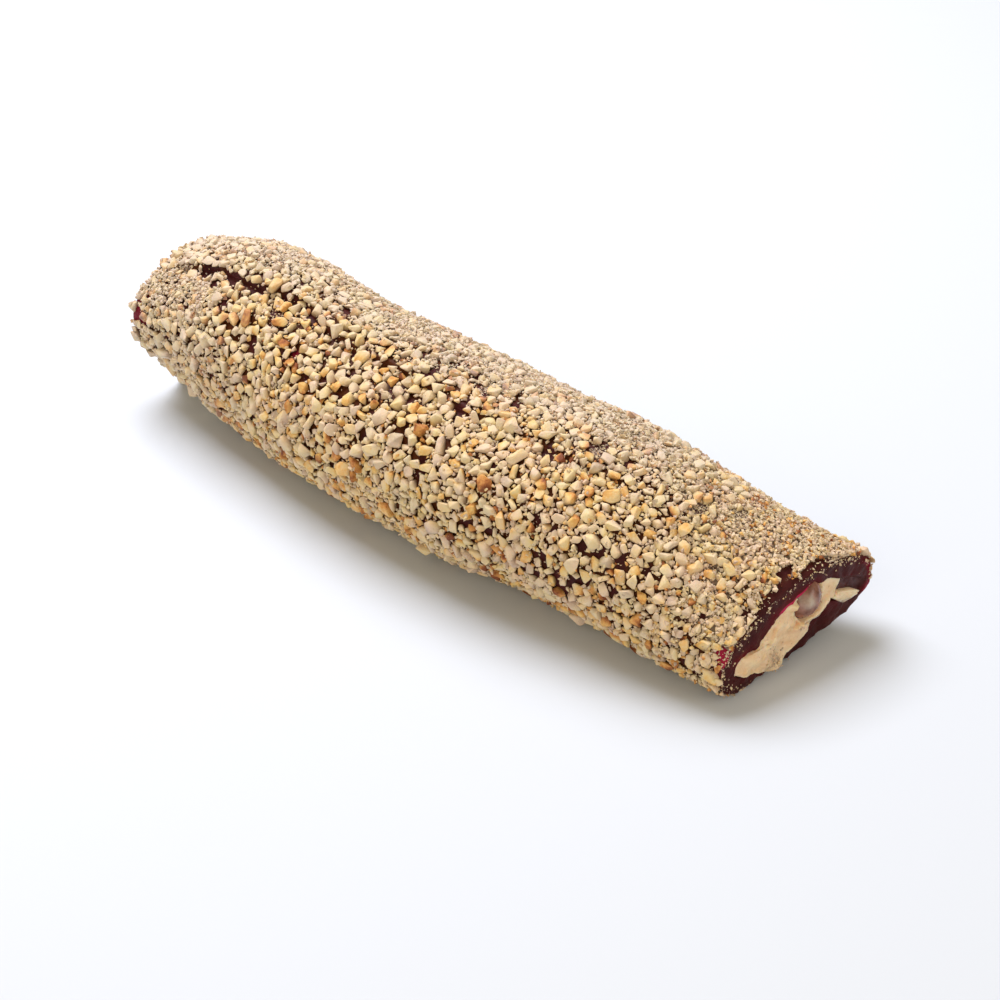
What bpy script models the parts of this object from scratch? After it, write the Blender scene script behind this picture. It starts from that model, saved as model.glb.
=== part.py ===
"""Hazelnut turkish delight: one long uncut roll, lying on its side. Metres, +Z up.

A sheet of dark fruit jelly is rolled round a core of hazelnut cream, its free edge laid over itself
along the top, and the outside is pressed full of chopped hazelnuts. Both ends are knife cuts that
show the cream inside its ring of jelly, with a whole kernel in it.

+X runs along the roll to the end that the knife pressed flat. The origin is the middle of the box
round the roll, at its base. The sizes below are in millimetres and are turned into metres at the end.
"""

import math
import random

import bmesh
import bpy
from mathutils import Matrix, Vector

MM = 0.001

# The outer face of the jelly with its bed of fine crumbs, at seven places along the roll:
# how far along, half the width, the height, how far it bends aside, and how far it leans.
ROLL = (
    (-124.5, 26.0, 48.0, 3.0, 0.0),
    (-80.0, 28.3, 55.8, 0.0, 0.0),
    (-30.0, 30.8, 55.4, -3.7, 0.0),
    (20.0, 32.8, 54.4, -4.5, 0.0),
    (70.0, 30.8, 51.8, -2.5, 2.0),
    (103.0, 31.2, 38.5, 1.5, 6.0),
    (121.5, 32.0, 28.5, 5.3, 10.0),
)
LEFT_END = ROLL[0][0]
RIGHT_END = ROLL[-1][0]
SQUARENESS = 2.2  # 2 is an ellipse, and more is a fuller section
SINK = 1.0  # how much of the underside the roll's own weight has pressed flat
SLANT = 0.12  # the knife left the right end leaning by this much, mm along for each mm aside
SLANT_FROM = 60.0  # and sections turn towards that slant from here on

WALL = 6.4  # the jelly sheet and its bed of crumbs
GAP = 0.3  # between the jelly and the cream, and round each kernel

# The knife squeezed the cream out past each cut: how much smaller it has become, and how far out it is.
SQUEEZED_LEFT = ((1.2, 0.8), (3.8, 1.4))
SQUEEZED_RIGHT = ((1.2, 1.6), (3.8, 2.8))

# The free edge of the sheet, a low step that runs along the top.
SEAM_ANGLE = 108.0  # degrees round from the +Y side
SEAM_STEP = 2.2
SEAM_HALF_ANGLE = 1.6
SEAM_LEFT_AT_END = 0.45  # the share of the step that is left where the right end is pressed flat
FLAP_SPREAD = 60.0  # degrees over which the flap rises towards its edge
HOLLOW_SPREAD = 35.0  # degrees over which the hollow in front of the edge fades out

SIDES = 30  # points round a section
SLICES = 15  # sections along the roll

# The chopped hazelnuts that are large enough to be a shape of their own.
CHIP_COUNT = 330
LARGEST_CHIP = 7.2
SMALLEST_CHIP = 4.2
CHIP_SUNK = 0.36  # the share of a chip's height that is pressed into the jelly
CHIP_TRIES = 14  # places tried for each chip, the emptiest one is kept
CHIP_END_MARGIN = 4.0
CHIP_FLOOR = 0.5  # no chip reaches lower than this
CHIP_SEAM_MARGIN = 7.0  # degrees kept clear on each side of the step

# A kernel in each end: where it lies, its half length and its half thickness.
KERNELS = {
    "hazelnut_right": (Vector((118.6, 9.0, 16.0)), 7.2, 6.0),
    "hazelnut_left": (Vector((-119.6, 7.5, 29.0)), 7.6, 6.6),
}


def remove_all():
    """Empties the file, so that only this model is in it."""
    for old in list(bpy.data.objects):
        bpy.data.objects.remove(old)


def collection(name):
    """A new collection in the scene."""
    made = bpy.data.collections.new(name)
    bpy.context.scene.collection.children.link(made)
    return made


def material(name, colour, roughness):
    """A plain food material."""
    made = bpy.data.materials.new(name)
    made.use_nodes = True
    shader = made.node_tree.nodes["Principled BSDF"]
    shader.inputs["Base Color"].default_value = (*colour, 1.0)
    shader.inputs["Roughness"].default_value = roughness
    shader.inputs["Metallic"].default_value = 0.0
    return made


def mesh_object(bm, name, home, look=None):
    """Turns a bmesh in millimetres into an object in metres, in the given collection."""
    bmesh.ops.recalc_face_normals(bm, faces=bm.faces)
    bmesh.ops.scale(bm, vec=Vector((MM, MM, MM)), verts=bm.verts)
    data = bpy.data.meshes.new(name)
    bm.to_mesh(data)
    bm.free()
    made = bpy.data.objects.new(name, data)
    home.objects.link(made)
    if look:
        data.materials.append(look)
    return made


def roll_at(along):
    """Half width, height, bend and lean of the roll at one place, on a smooth curve through ROLL."""
    here = max(LEFT_END, min(RIGHT_END, along))
    last = len(ROLL) - 2
    i = next((k for k in range(last + 1) if here <= ROLL[k + 1][0]), last)
    before, start, end, after = (ROLL[max(0, min(last + 1, k))] for k in range(i - 1, i + 3))
    span = end[0] - start[0]
    t = (here - start[0]) / span
    found = []
    for k in range(1, len(start)):
        rise_in = (end[k] - before[k]) / (end[0] - before[0]) * span
        rise_out = (after[k] - start[k]) / (after[0] - start[0]) * span
        found.append(
            start[k] * (2 * t**3 - 3 * t**2 + 1)
            + end[k] * (3 * t**2 - 2 * t**3)
            + rise_in * (t**3 - 2 * t**2 + t)
            + rise_out * (t**3 - t**2)
        )
    return found


def seam_offset(along, angle):
    """How far the face stands out of the plain section near the sheet's free edge, in mm."""
    past = (angle - SEAM_ANGLE + 180.0) % 360.0 - 180.0
    run = min(1.0, max(0.0, (along - LEFT_END) / (RIGHT_END - LEFT_END)))
    step = SEAM_STEP * (1.0 - (1.0 - SEAM_LEFT_AT_END) * run)
    if past <= 0.0:
        return 0.4 * step * max(0.0, 1.0 + past / FLAP_SPREAD)
    return -0.6 * step * max(0.0, 1.0 - past / HOLLOW_SPREAD)


def skin_point(along, angle, depth=0.0, seam=True):
    """The point at `angle` degrees round the section at `along`, `depth` mm inside its face."""
    half_width, height, aside, lean = roll_at(along)
    half_height = (height + SINK) / 2
    middle = (height - SINK) / 2
    out = (seam_offset(along, angle) if seam else 0.0) - depth
    turn = math.radians(angle)
    power = 2.0 / SQUARENESS
    across = math.copysign(abs(math.cos(turn)) ** power, math.cos(turn)) * (half_width + out)
    up = math.copysign(abs(math.sin(turn)) ** power, math.sin(turn)) * (half_height + out)
    tilt = math.radians(lean)
    y = aside + across * math.cos(tilt) - up * math.sin(tilt)
    z = middle + across * math.sin(tilt) + up * math.cos(tilt)
    slant = SLANT * min(1.0, max(0.0, (along - SLANT_FROM) / (RIGHT_END - SLANT_FROM)))
    return Vector((along + slant * (y - aside), y, max(0.0, z)))


def section_angles():
    """The angles of a section's points. The one nearest the free edge is split into the step's two."""
    step = 360.0 / SIDES
    plain = [k * step for k in range(SIDES) if abs(k * step - SEAM_ANGLE) > step / 2]
    edge = [SEAM_ANGLE - SEAM_HALF_ANGLE, SEAM_ANGLE + SEAM_HALF_ANGLE]
    return sorted(plain + edge)


def places_along():
    """Where the sections lie, closer together towards the right end, where the roll flattens."""
    ease = 1.25
    length = RIGHT_END - LEFT_END
    return [RIGHT_END - length * (1.0 - k / (SLICES - 1)) ** ease for k in range(SLICES)]


def loft(rings):
    """A closed skin over a row of rings that all have the same number of points."""
    bm = bmesh.new()
    rows = [[bm.verts.new(point) for point in ring] for ring in rings]
    count = len(rows[0])
    for first, second in zip(rows, rows[1:]):
        for k in range(count):
            bm.faces.new((first[k], first[(k + 1) % count], second[(k + 1) % count], second[k]))
    bm.faces.new(rows[0])
    bm.faces.new(rows[-1])
    return bm


def inner_ring(along, depth, push=0.0):
    """A section of the filled space inside the sheet, moved `push` mm along the roll."""
    ring = [skin_point(along, angle, depth, seam=False) for angle in section_angles()]
    return [point + Vector((push, 0.0, 0.0)) for point in ring]


def core_rings(depth, left_steps, right_steps):
    """The filled space inside the sheet, with its steps past each cut, listed from the cut outwards."""
    rings = [inner_ring(place, depth) for place in places_along()]
    before = [inner_ring(LEFT_END, depth + less, -push) for less, push in reversed(left_steps)]
    after = [inner_ring(RIGHT_END, depth + less, push) for less, push in right_steps]
    return before + rings + after


def jelly_sheet(parts, cutters):
    """The rolled sheet: the full roll, with the filled space cut out of it from end to end."""
    rings = [[skin_point(place, angle) for angle in section_angles()] for place in places_along()]
    jelly = mesh_object(loft(rings), "jelly_wrap", parts, material("jelly", (0.035, 0.008, 0.022), 0.3))
    straight_on = ((0.0, 3.0),)
    through = core_rings(WALL, straight_on, straight_on)
    space = mesh_object(loft(through), "filled_space", cutters)
    cut(jelly, space, "filled space")
    return jelly


def cream_core(parts):
    """The cream, right through the roll, which the knife has squeezed out a little at each end."""
    rings = core_rings(WALL + GAP, SQUEEZED_LEFT, SQUEEZED_RIGHT)
    return mesh_object(loft(rings), "cream_core", parts, material("cream", (0.75, 0.56, 0.37), 0.55))


def cut(body, cutter, label):
    """Takes the cutter's shape out of the body."""
    cutter.hide_render = True
    cutter.display_type = "WIRE"
    difference = body.modifiers.new(label, "BOOLEAN")
    difference.operation = "DIFFERENCE"
    difference.solver = "EXACT"
    difference.object = cutter


def kernel_bmesh(middle, half_length, half_thickness, grown=0.0):
    """A hazelnut kernel: a ball that draws in to a blunt tip, pointing up and inwards."""
    bm = bmesh.new()
    bmesh.ops.create_uvsphere(bm, u_segments=14, v_segments=9, radius=1.0)
    for vert in bm.verts:
        narrowing = 1.0 - 0.16 * max(0.0, vert.co.z) ** 2
        vert.co.x *= narrowing * (half_thickness + grown)
        vert.co.y *= narrowing * (half_thickness + grown)
        vert.co.z *= half_length + grown
    inwards = -1.0 if middle.x > 0.0 else 1.0
    lying = Matrix.Rotation(math.radians(72.0 * inwards), 4, "Y")
    bmesh.ops.transform(bm, matrix=Matrix.Translation(middle) @ lying, verts=bm.verts)
    return bm


def kernels(parts, cutters, cream):
    """A whole kernel in each cut end, each in its own pocket in the cream."""
    skin = material("hazelnut", (0.34, 0.19, 0.10), 0.45)
    for name, (middle, half_length, half_thickness) in KERNELS.items():
        mesh_object(kernel_bmesh(middle, half_length, half_thickness), name, parts, skin)
        pocket = kernel_bmesh(middle, half_length, half_thickness, GAP)
        cut(cream, mesh_object(pocket, name + "_pocket", cutters), name)


def face_frame(along, angle):
    """The point on the jelly's face, its outward normal and the direction along the roll."""
    here = skin_point(along, angle)
    forward = (skin_point(along + 1.0, angle) - skin_point(along - 1.0, angle)).normalized()
    around = (skin_point(along, angle + 1.0) - skin_point(along, angle - 1.0)).normalized()
    return here, forward.cross(around).normalized(), forward


def chip_places(draw):
    """Picks where the chips go: largest first, each at the emptiest of a few places drawn."""
    chosen = []
    while len(chosen) < CHIP_COUNT:
        share = len(chosen) / CHIP_COUNT
        size = LARGEST_CHIP + (SMALLEST_CHIP - LARGEST_CHIP) * share**0.7
        best, best_room = None, 0.0
        for _ in range(CHIP_TRIES):
            along = draw.uniform(LEFT_END + CHIP_END_MARGIN, RIGHT_END - CHIP_END_MARGIN)
            angle = draw.uniform(-60.0, 240.0)
            if abs(angle - SEAM_ANGLE) < CHIP_SEAM_MARGIN:
                continue
            place, normal, forward = face_frame(along, angle)
            if place.z < size * 0.75 + CHIP_FLOOR:
                continue
            room = min(((place - other[0]).length for other in chosen), default=size)
            if room > best_room:
                best, best_room = (place, normal, forward, size), room
        if best:
            chosen.append(best)
    return chosen


def chip_bmesh(place, normal, forward, size, draw):
    """One chopped piece: a block with its corners pushed about, lying on the jelly and pressed in."""
    bm = bmesh.new()
    bmesh.ops.create_cube(bm, size=1.0)
    bmesh.ops.delete(bm, geom=list(bm.edges), context="EDGES_FACES")
    long = size * draw.uniform(0.9, 1.1)
    wide = size * draw.uniform(0.62, 0.85)
    thick = size * draw.uniform(0.5, 0.66)
    for vert in bm.verts:
        vert.co += Vector(draw.uniform(-0.17, 0.17) for _ in range(3))
        narrowing = 0.82 if vert.co.z > 0.0 else 1.0
        vert.co = Vector((vert.co.x * long * narrowing, vert.co.y * wide * narrowing, vert.co.z * thick))
    hull = bmesh.ops.convex_hull(bm, input=list(bm.verts))
    bmesh.ops.delete(bm, geom=hull["geom_interior"], context="VERTS")
    turned = Matrix.Rotation(draw.uniform(0.0, math.tau), 3, "Z")
    tipped = Matrix.Rotation(math.radians(draw.uniform(-14.0, 14.0)), 3, "X")
    side = normal.cross(forward)
    frame = Matrix((forward, side, normal)).transposed()
    centre = place + normal * thick * (0.5 - CHIP_SUNK)
    for vert in bm.verts:
        vert.co = centre + frame @ (tipped @ (turned @ vert.co))
    lowest = min(vert.co.z for vert in bm.verts)
    lift = Vector((0.0, 0.0, max(0.0, CHIP_FLOOR - lowest)))
    bmesh.ops.translate(bm, verts=bm.verts, vec=lift)
    return bm


def press_in_chips(jelly):
    """Fuses the chopped hazelnuts to the jelly by one union, then removes the loose ones."""
    draw = random.Random(4)
    chips = collection("chopped_hazelnuts")
    for number, (place, normal, forward, size) in enumerate(chip_places(draw)):
        mesh_object(chip_bmesh(place, normal, forward, size, draw), f"chip_{number}", chips)
    union = jelly.modifiers.new("chopped hazelnuts", "BOOLEAN")
    union.operation = "UNION"
    union.solver = "EXACT"
    union.operand_type = "COLLECTION"
    union.collection = chips
    apply_modifiers(jelly)
    for chip in list(chips.objects):
        bpy.data.objects.remove(chip)
    bpy.data.collections.remove(chips)


def apply_modifiers(body):
    """Makes the modified shape the object's own mesh."""
    graph = bpy.context.evaluated_depsgraph_get()
    done = bpy.data.meshes.new_from_object(body.evaluated_get(graph), depsgraph=graph)
    body.modifiers.clear()
    body.data = done


def shade(parts):
    """Smooth shading, with sharp edges where two faces meet steeply."""
    for body in parts.objects:
        body.data.shade_smooth()
        body.data.set_sharp_from_angle(angle=math.radians(35.0))


def main():
    remove_all()
    parts = collection("hazelnut_turkish_delight")
    cutters = collection("cutters")
    jelly = jelly_sheet(parts, cutters)
    press_in_chips(jelly)
    cream = cream_core(parts)
    kernels(parts, cutters, cream)
    shade(parts)


main()
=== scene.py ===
# %% [markdown]
# # Hazelnut turkish delight
#
# The real sweet is a long roll. A sheet of dark fruit jelly, about half a centimetre thick, is laid
# flat, spread with hazelnut cream, rolled up, and pressed all round into chopped hazelnuts. A knife
# then cuts its ends, which show the layers.
#
# The solid model of the roll is already made and fixed. This lesson dresses it: it lays a glossy
# sheet of jelly over the same form, fills it with cream, and covers it with thousands of pieces of
# chopped nut. The first cell loads the solid model.

# %% Load the solid model
import math
import random

import bmesh
import bpy
import numpy as np
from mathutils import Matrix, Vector, kdtree


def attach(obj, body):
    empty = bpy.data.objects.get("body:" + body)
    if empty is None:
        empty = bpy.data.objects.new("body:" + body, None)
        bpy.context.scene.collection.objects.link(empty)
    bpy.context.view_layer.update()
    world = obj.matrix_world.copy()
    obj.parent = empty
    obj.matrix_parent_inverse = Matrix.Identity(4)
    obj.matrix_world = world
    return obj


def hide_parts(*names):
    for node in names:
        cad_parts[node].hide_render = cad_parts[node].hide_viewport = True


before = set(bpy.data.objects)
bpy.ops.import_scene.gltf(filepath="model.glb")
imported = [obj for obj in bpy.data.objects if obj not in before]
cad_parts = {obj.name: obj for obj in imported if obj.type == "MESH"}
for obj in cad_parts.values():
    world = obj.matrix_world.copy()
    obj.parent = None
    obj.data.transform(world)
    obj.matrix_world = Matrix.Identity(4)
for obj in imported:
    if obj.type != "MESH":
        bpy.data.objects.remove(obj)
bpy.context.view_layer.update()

# %% [markdown]
# ## The form of the roll
#
# The roll isn't a plain cylinder. Its own weight has flattened its underside, it bends a little, and
# the knife pressed its right end down to half its height. Seven sections, placed along it, say all
# of that. A smooth curve through them gives the section at any other place, so every later step can
# ask for a point on the face of the roll by two numbers: how far along, and how far round.
#
# These are the same seven sections that the solid model was made from. Lengths are in millimetres
# until a mesh is made.

# %% Sections along the roll
MM = 0.001

# How far along, half the width, the height, how far the roll bends aside, how far it leans (degrees).
ROLL = np.array(
    (
        (-124.5, 26.0, 48.0, 3.0, 0.0),
        (-80.0, 28.3, 55.8, 0.0, 0.0),
        (-30.0, 30.8, 55.4, -3.7, 0.0),
        (20.0, 32.8, 54.4, -4.5, 0.0),
        (70.0, 30.8, 51.8, -2.5, 2.0),
        (103.0, 31.2, 38.5, 1.5, 6.0),
        (121.5, 32.0, 28.5, 5.3, 10.0),
    )
)
LEFT_END, RIGHT_END = ROLL[0, 0], ROLL[-1, 0]
SQUARENESS = 2.2  # 2 gives an oval section, a higher value a squarer one
SINK = 1.0  # the section would reach this far below the table, and is pressed flat there
SLANT = 0.12  # the knife's cut runs this much aslant
SLANT_FROM = 60.0  # from here on, the sections turn towards the cut


def sizes_at(along):
    """Half width, height, bend and lean at each place along the roll, as four columns."""
    here = np.clip(along, LEFT_END, RIGHT_END)
    last = len(ROLL) - 1
    i = np.clip(np.searchsorted(ROLL[:, 0], here, side="right") - 1, 0, last - 1)
    before, start, end, after = (ROLL[np.clip(i + k, 0, last)] for k in (-1, 0, 1, 2))
    span = (end - start)[..., :1]
    t = (here[..., None] - start[..., :1]) / span
    rise_in = (end - before)[..., 1:] / (end - before)[..., :1] * span
    rise_out = (after - start)[..., 1:] / (after - start)[..., :1] * span
    return (
        start[..., 1:] * (2 * t**3 - 3 * t**2 + 1)
        + end[..., 1:] * (3 * t**2 - 2 * t**3)
        + rise_in * (t**3 - 2 * t**2 + t)
        + rise_out * (t**3 - t**2)
    )


print("half width and height in the middle, mm:", sizes_at(np.array([0.0]))[0, :2].round(1))

# %% [markdown]
# ## The free edge of the sheet
#
# The sheet ends in an edge that lies along the top, a little to the front. There the sheet steps
# down on to its own start. Nuts don't reach the foot of the step, so it shows as a dark line. The
# edge wanders as a hand-laid one does, so its angle is a curve through a few places.

# %% The step and the soft lumps of the face
BED = 1.0  # the solid model's face lies this far outside the jelly, level with the finest crumbs
REST = 0.9  # the roll rests on its nuts, so the jelly itself stays this far above the table
SEAM_STEP = 2.3
SEAM_SOFTNESS = 1.9  # degrees over which the step falls
# Where the free edge lies: how far along, degrees round.
SEAM_PLACES = (
    (-125, 115), (-112, 112), (-97, 107), (-75, 105), (-58, 101), (-45, 108), (-20, 108), (20, 111),
    (125, 108),
)


def smooth_step(low, high, value):
    """0 below low, 1 above high, and a soft slope between them."""
    t = np.clip((value - low) / (high - low), 0.0, 1.0)
    return t * t * (3.0 - 2.0 * t)


def plateau(value, low, high, last, end):
    """0 below low, 1 from high to last, 0 again past end, and soft slopes between."""
    return smooth_step(low, high, value) * smooth_step(end, last, value)


def line_through(places, value):
    """The height of a line through (place, height) pairs."""
    at, heights = np.array(places, float).T
    return np.interp(value, at, heights)


def degrees_past(angle, other):
    """How far one angle lies past another, from -180 to 180 degrees."""
    return (angle - other + 180.0) % 360.0 - 180.0


def seam_angle(along):
    """Where the free edge lies round the roll, in degrees, at each place along it."""
    return line_through(SEAM_PLACES, along) + 1.2 * np.sin(along / 7.0)


def seam_relief(along, angle):
    """How far the flap stands out of the plain section, in mm."""
    past = degrees_past(angle, seam_angle(along))
    step = SEAM_STEP * (1.0 - 0.6 * smooth_step(-20.0, 90.0, along)) * smooth_step(-124.0, -108.0, along)
    flap = 0.45 * np.clip(1.0 + past / 60.0, 0.0, 1.0)
    hollow = -0.55 * np.clip(1.0 - past / 38.0, 0.0, 1.0)
    return step * (flap + (hollow - flap) * smooth_step(-SEAM_SOFTNESS, SEAM_SOFTNESS, past))


# Places where the roll is fuller or leaner: how far along, degrees round, reach in mm, reach in
# degrees, height in mm.
SWELLINGS = (
    (-93.0, 72.0, 24.0, 42.0, 3.6),
    (-124.0, 216.0, 27.0, 38.0, -7.0),
    (45.0, 215.0, 25.0, 30.0, -1.6),
    (90.0, 60.0, 18.0, 35.0, -1.2),
    (124.0, 92.0, 12.0, 34.0, 1.6),
    (124.0, -18.0, 12.0, 16.0, 1.0),
)
# A fold of the sheet stands out at the left end: middle in degrees, reach in degrees, length in mm.
LEFT_FOLD = (160.0, 24.0, 2.2)
LUMP_HEIGHT = 0.5


def swelling(along, angle):
    """How much fuller the roll is at a place, in mm."""
    total = np.zeros(np.shape(along))
    for at, round_, reach, spread, height in SWELLINGS:
        off = degrees_past(angle, round_)
        total = total + height * np.exp(-(((along - at) / reach) ** 2) - (off / spread) ** 2)
    return total


def soft_lumps(along, angle):
    """Low swellings left by the hands that rolled it, from -1 to 1."""
    turn = np.radians(angle)
    return (
        0.4 * np.sin(along / 11.0 + 2.0 * np.cos(turn) + 0.7)
        + 0.35 * np.sin(along / 6.3 - 3.0 * np.sin(turn + 0.4) + 2.1)
        + 0.25 * np.sin(3.0 * turn + along / 17.0)
    )


print("free edge in the middle, degrees round:", round(float(seam_angle(0.0)), 1))

# %% [markdown]
# ## A point on the face of the roll
#
# This is the one function that the jelly, the cream and every piece of nut share. It takes a place
# along, an angle round (0 is the far side, 90 the top) and how far out from the jelly's face.

# %% The shared face function


def squared(value):
    """Turns the sine or cosine of an oval into that of a slightly square one."""
    return np.sign(value) * np.abs(value) ** (2.0 / SQUARENESS)


def on_roll(along, angle, out=0.0):
    """Points on the jelly's face, moved outwards by `out` mm."""
    along, angle, out = np.broadcast_arrays(*(np.asarray(v, float) for v in (along, angle, out)))
    half_width, height, aside, lean = np.moveaxis(sizes_at(along), -1, 0)
    lift = out - BED + seam_relief(along, angle) + swelling(along, angle)
    lift = lift + LUMP_HEIGHT * soft_lumps(along, angle)
    turn = np.radians(angle)
    across = squared(np.cos(turn)) * (half_width + lift)
    up = squared(np.sin(turn)) * ((height + SINK) / 2 + lift)
    tilt = np.radians(lean)
    y = aside + across * np.cos(tilt) - up * np.sin(tilt)
    z = (height - SINK) / 2 + across * np.sin(tilt) + up * np.cos(tilt)
    slant = SLANT * np.clip((along - SLANT_FROM) / (RIGHT_END - SLANT_FROM), 0.0, 1.0)
    middle, reach, length = LEFT_FOLD
    fold = length * np.exp(-(((angle - middle) / reach) ** 2))
    fold = fold * smooth_step(LEFT_END + 14.0, LEFT_END, along)
    return np.stack([along + slant * (y - aside) - fold, y, np.maximum(z, REST)], axis=-1)


def face_axes(along, angle):
    """On the face: the point, the direction outwards, and the direction along the roll."""
    forward = on_roll(along + 1.0, angle) - on_roll(along - 1.0, angle)
    around = on_roll(along, angle + 1.5) - on_roll(along, angle - 1.5)
    outward = np.cross(around, forward)
    unit = [v / np.linalg.norm(v, axis=-1, keepdims=True) for v in (outward, forward)]
    return on_roll(along, angle), unit[0], unit[1]


print("top of the jelly in the middle, mm:", on_roll(0.0, 90.0).round(1))

# %% [markdown]
# ## Camera, floor and light
#
# The camera looks down on the roll from its cut end's side, about a third of the way up from level,
# and from far enough away that the far end looks only a little smaller. A lamp as large as a window
# stands above and behind, weaker ones fill in from the front and from the cut end's side, and the
# floor throws light back up.

# %% Camera
VIEW_TURN = math.radians(41.4)  # round from the roll's side towards its cut end
VIEW_RISE = math.radians(34.0)
VIEW_DISTANCE = 0.7743
VIEW_LENS = 89.3
LOOKS_AT = Vector((0.0037, 0.0127, 0.0))


def add_object(name, data):
    """Puts a mesh, lamp or camera into the scene."""
    made = bpy.data.objects.new(name, data)
    bpy.context.scene.collection.objects.link(made)
    return made


level = math.cos(VIEW_RISE)
backwards = Vector((math.sin(VIEW_TURN) * level, -math.cos(VIEW_TURN) * level, math.sin(VIEW_RISE)))
eye = bpy.data.cameras.new("camera")
eye.lens = VIEW_LENS
eye.sensor_width = 36.0
camera = add_object("camera", eye)
camera.location = LOOKS_AT + backwards * VIEW_DISTANCE
camera.rotation_euler = backwards.to_track_quat("Z", "Y").to_euler()
bpy.context.scene.camera = camera
print("camera at, mm:", [round(1000 * c) for c in camera.location])

# %% Floor and backdrop
FLOOR_SIDE = 6.0
FLOOR_COLOUR = (0.652, 0.704, 0.768, 1.0)  # a little blue, to balance the warm lamps


def new_look(name):
    """A material with its tree of nodes and its Principled shader."""
    look = bpy.data.materials.new(name)
    look.use_nodes = True
    return look, look.node_tree, look.node_tree.nodes["Principled BSDF"]


def set_inputs(node, values):
    """Writes plain numbers and colours on a node's own sockets."""
    for label, value in values.items():
        node.inputs[label].default_value = value


bpy.ops.mesh.primitive_plane_add(size=FLOOR_SIDE, location=(0.0, 0.0, 0.0))
floor = bpy.context.object
floor.name = "floor"
floor_look, tree, shader = new_look("pale floor")
set_inputs(shader, {"Base Color": FLOOR_COLOUR, "Roughness": 0.85})
floor.data.materials.append(floor_look)
print("floor, m:", FLOOR_SIDE)

# %% Lamps and surroundings
# Name, place in metres, width of the lamp in metres, power in watts, colour.
LAMPS = (
    ("window", (-0.55, 0.15, 1.05), 0.8, 18.3, (0.99, 0.98, 1.045)),
    ("front fill", (0.35, -1.2, 0.75), 1.0, 5.7, (1.0, 0.88, 0.70)),
    ("end fill", (1.3, 0.2, 0.6), 0.9, 4.2, (1.0, 0.95, 0.87)),
)
LIT_MIDDLE = Vector((0.0, 0.0, 0.02))
ROOM_COLOUR, ROOM_STRENGTH = (1.0, 0.86, 0.66, 1.0), 0.36

for name, place, size, power, tint in LAMPS:
    lamp = bpy.data.lights.new(name, "AREA")
    lamp.shape = "SQUARE"
    lamp.size = size
    lamp.energy = power
    lamp.color = tint
    holder = add_object(name, lamp)
    holder.location = place
    holder.rotation_euler = (Vector(place) - LIT_MIDDLE).to_track_quat("Z", "Y").to_euler()
room = bpy.data.worlds.new("room")
room.use_nodes = True
set_inputs(room.node_tree.nodes["Background"], {"Color": ROOM_COLOUR, "Strength": ROOM_STRENGTH})
bpy.context.scene.world = room
bpy.context.scene.view_settings.view_transform = "Standard"
print("lamps:", *(name for name, *_ in LAMPS))

# %% [markdown]
# ## From numbers to a mesh
#
# Every piece below is worked out as arrays of points and faces. This helper turns them into an
# object quickly, and can store a number for each point, such as how dusty it is, which the
# material reads later.

# %% Mesh helper


def make_piece(name, points, faces, look, values, smooth=True):
    """An object from points in mm, faces that all have as many corners, and numbers to store."""
    data = bpy.data.meshes.new(name)
    count, corners = faces.shape
    data.vertices.add(len(points))
    data.vertices.foreach_set("co", (np.asarray(points) * MM).astype(np.float32).ravel())
    data.loops.add(count * corners)
    data.loops.foreach_set("vertex_index", faces.astype(np.int32).ravel())
    data.polygons.add(count)
    data.polygons.foreach_set("loop_start", np.arange(0, count * corners, corners, dtype=np.int32))
    data.polygons.foreach_set("use_smooth", np.full(count, smooth))
    data.update(calc_edges=True)
    for label, numbers in values.items():
        stored = data.attributes.new(label, "FLOAT", "POINT")
        stored.data.foreach_set("value", np.asarray(numbers, np.float32).ravel())
    data.materials.append(look)
    piece = add_object(name, data)
    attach(piece, "root")
    print(f"{name}: {count} faces with {corners} corners")
    return piece


def grid_faces(rows, columns, wrap_rows=False):
    """Four-cornered faces of a grid whose rows are rings; wrap_rows joins the last row to the first."""
    r = np.arange(rows if wrap_rows else rows - 1)[:, None]
    c = np.arange(columns)[None, :]
    right = (c + 1) % columns
    below = (r + 1) % rows
    corners = (r * columns + c, r * columns + right, below * columns + right, below * columns + c)
    return np.stack(np.broadcast_arrays(*corners), axis=-1).reshape(-1, 4)


def wavering(draw, points, size, amount):
    """Smooth unevenness at points in mm: a few sine waves that run in drawn directions."""
    total = np.zeros(points.shape[:-1])
    for _ in range(6):
        direction = draw.normal(size=3)
        direction *= draw.uniform(0.6, 1.6) * 2.0 * math.pi / size / np.linalg.norm(direction)
        total += np.sin(points @ direction + draw.uniform(0.0, 2.0 * math.pi))
    return amount * total / 3.0


# %% [markdown]
# ## The jelly sheet
#
# The sheet could be a tube with a Solidify modifier, but the knife cut needs more: the wall is
# thicker on top than below, its cut edge is slightly rounded, and at the right end the lower half
# has drawn back under the cream. So the tube is made as a row of rings that runs along the outside,
# turns in over one cut, comes back along the inside and turns out over the other cut.

# %% Thickness of the sheet
# At the right end: angle, thickness in mm. A kernel has pressed the sheet thin near the top. At the
# far side the sheet lies double, and fills the room round the cream.
WALL_AT_CUT = (
    (-90, 5.2), (-84, 7.4), (-76, 9.8), (-66, 11.2), (-52, 11.8), (-44, 11.1), (-36, 7.3), (-29, 2.8),
    (-25, 4.2), (-22.5, 6.7), (-20, 10.0), (-17.5, 12.0), (-14, 13.7), (-5, 14.1), (14, 14.2), (30, 13.6),
    (34, 13.0), (38, 10.3), (43, 7.2), (60, 5.4), (72, 5.1), (79, 4.5), (90, 6.3), (100, 6.9), (115, 7.6),
    (123, 9.3), (131, 10.2), (140, 10.0), (147, 8.1), (156, 6.4), (174, 5.7), (225, 5.4), (247, 3.8),
    (270, 5.2),
)
WALL_TOP, WALL_BELOW = 5.6, 5.0
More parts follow.
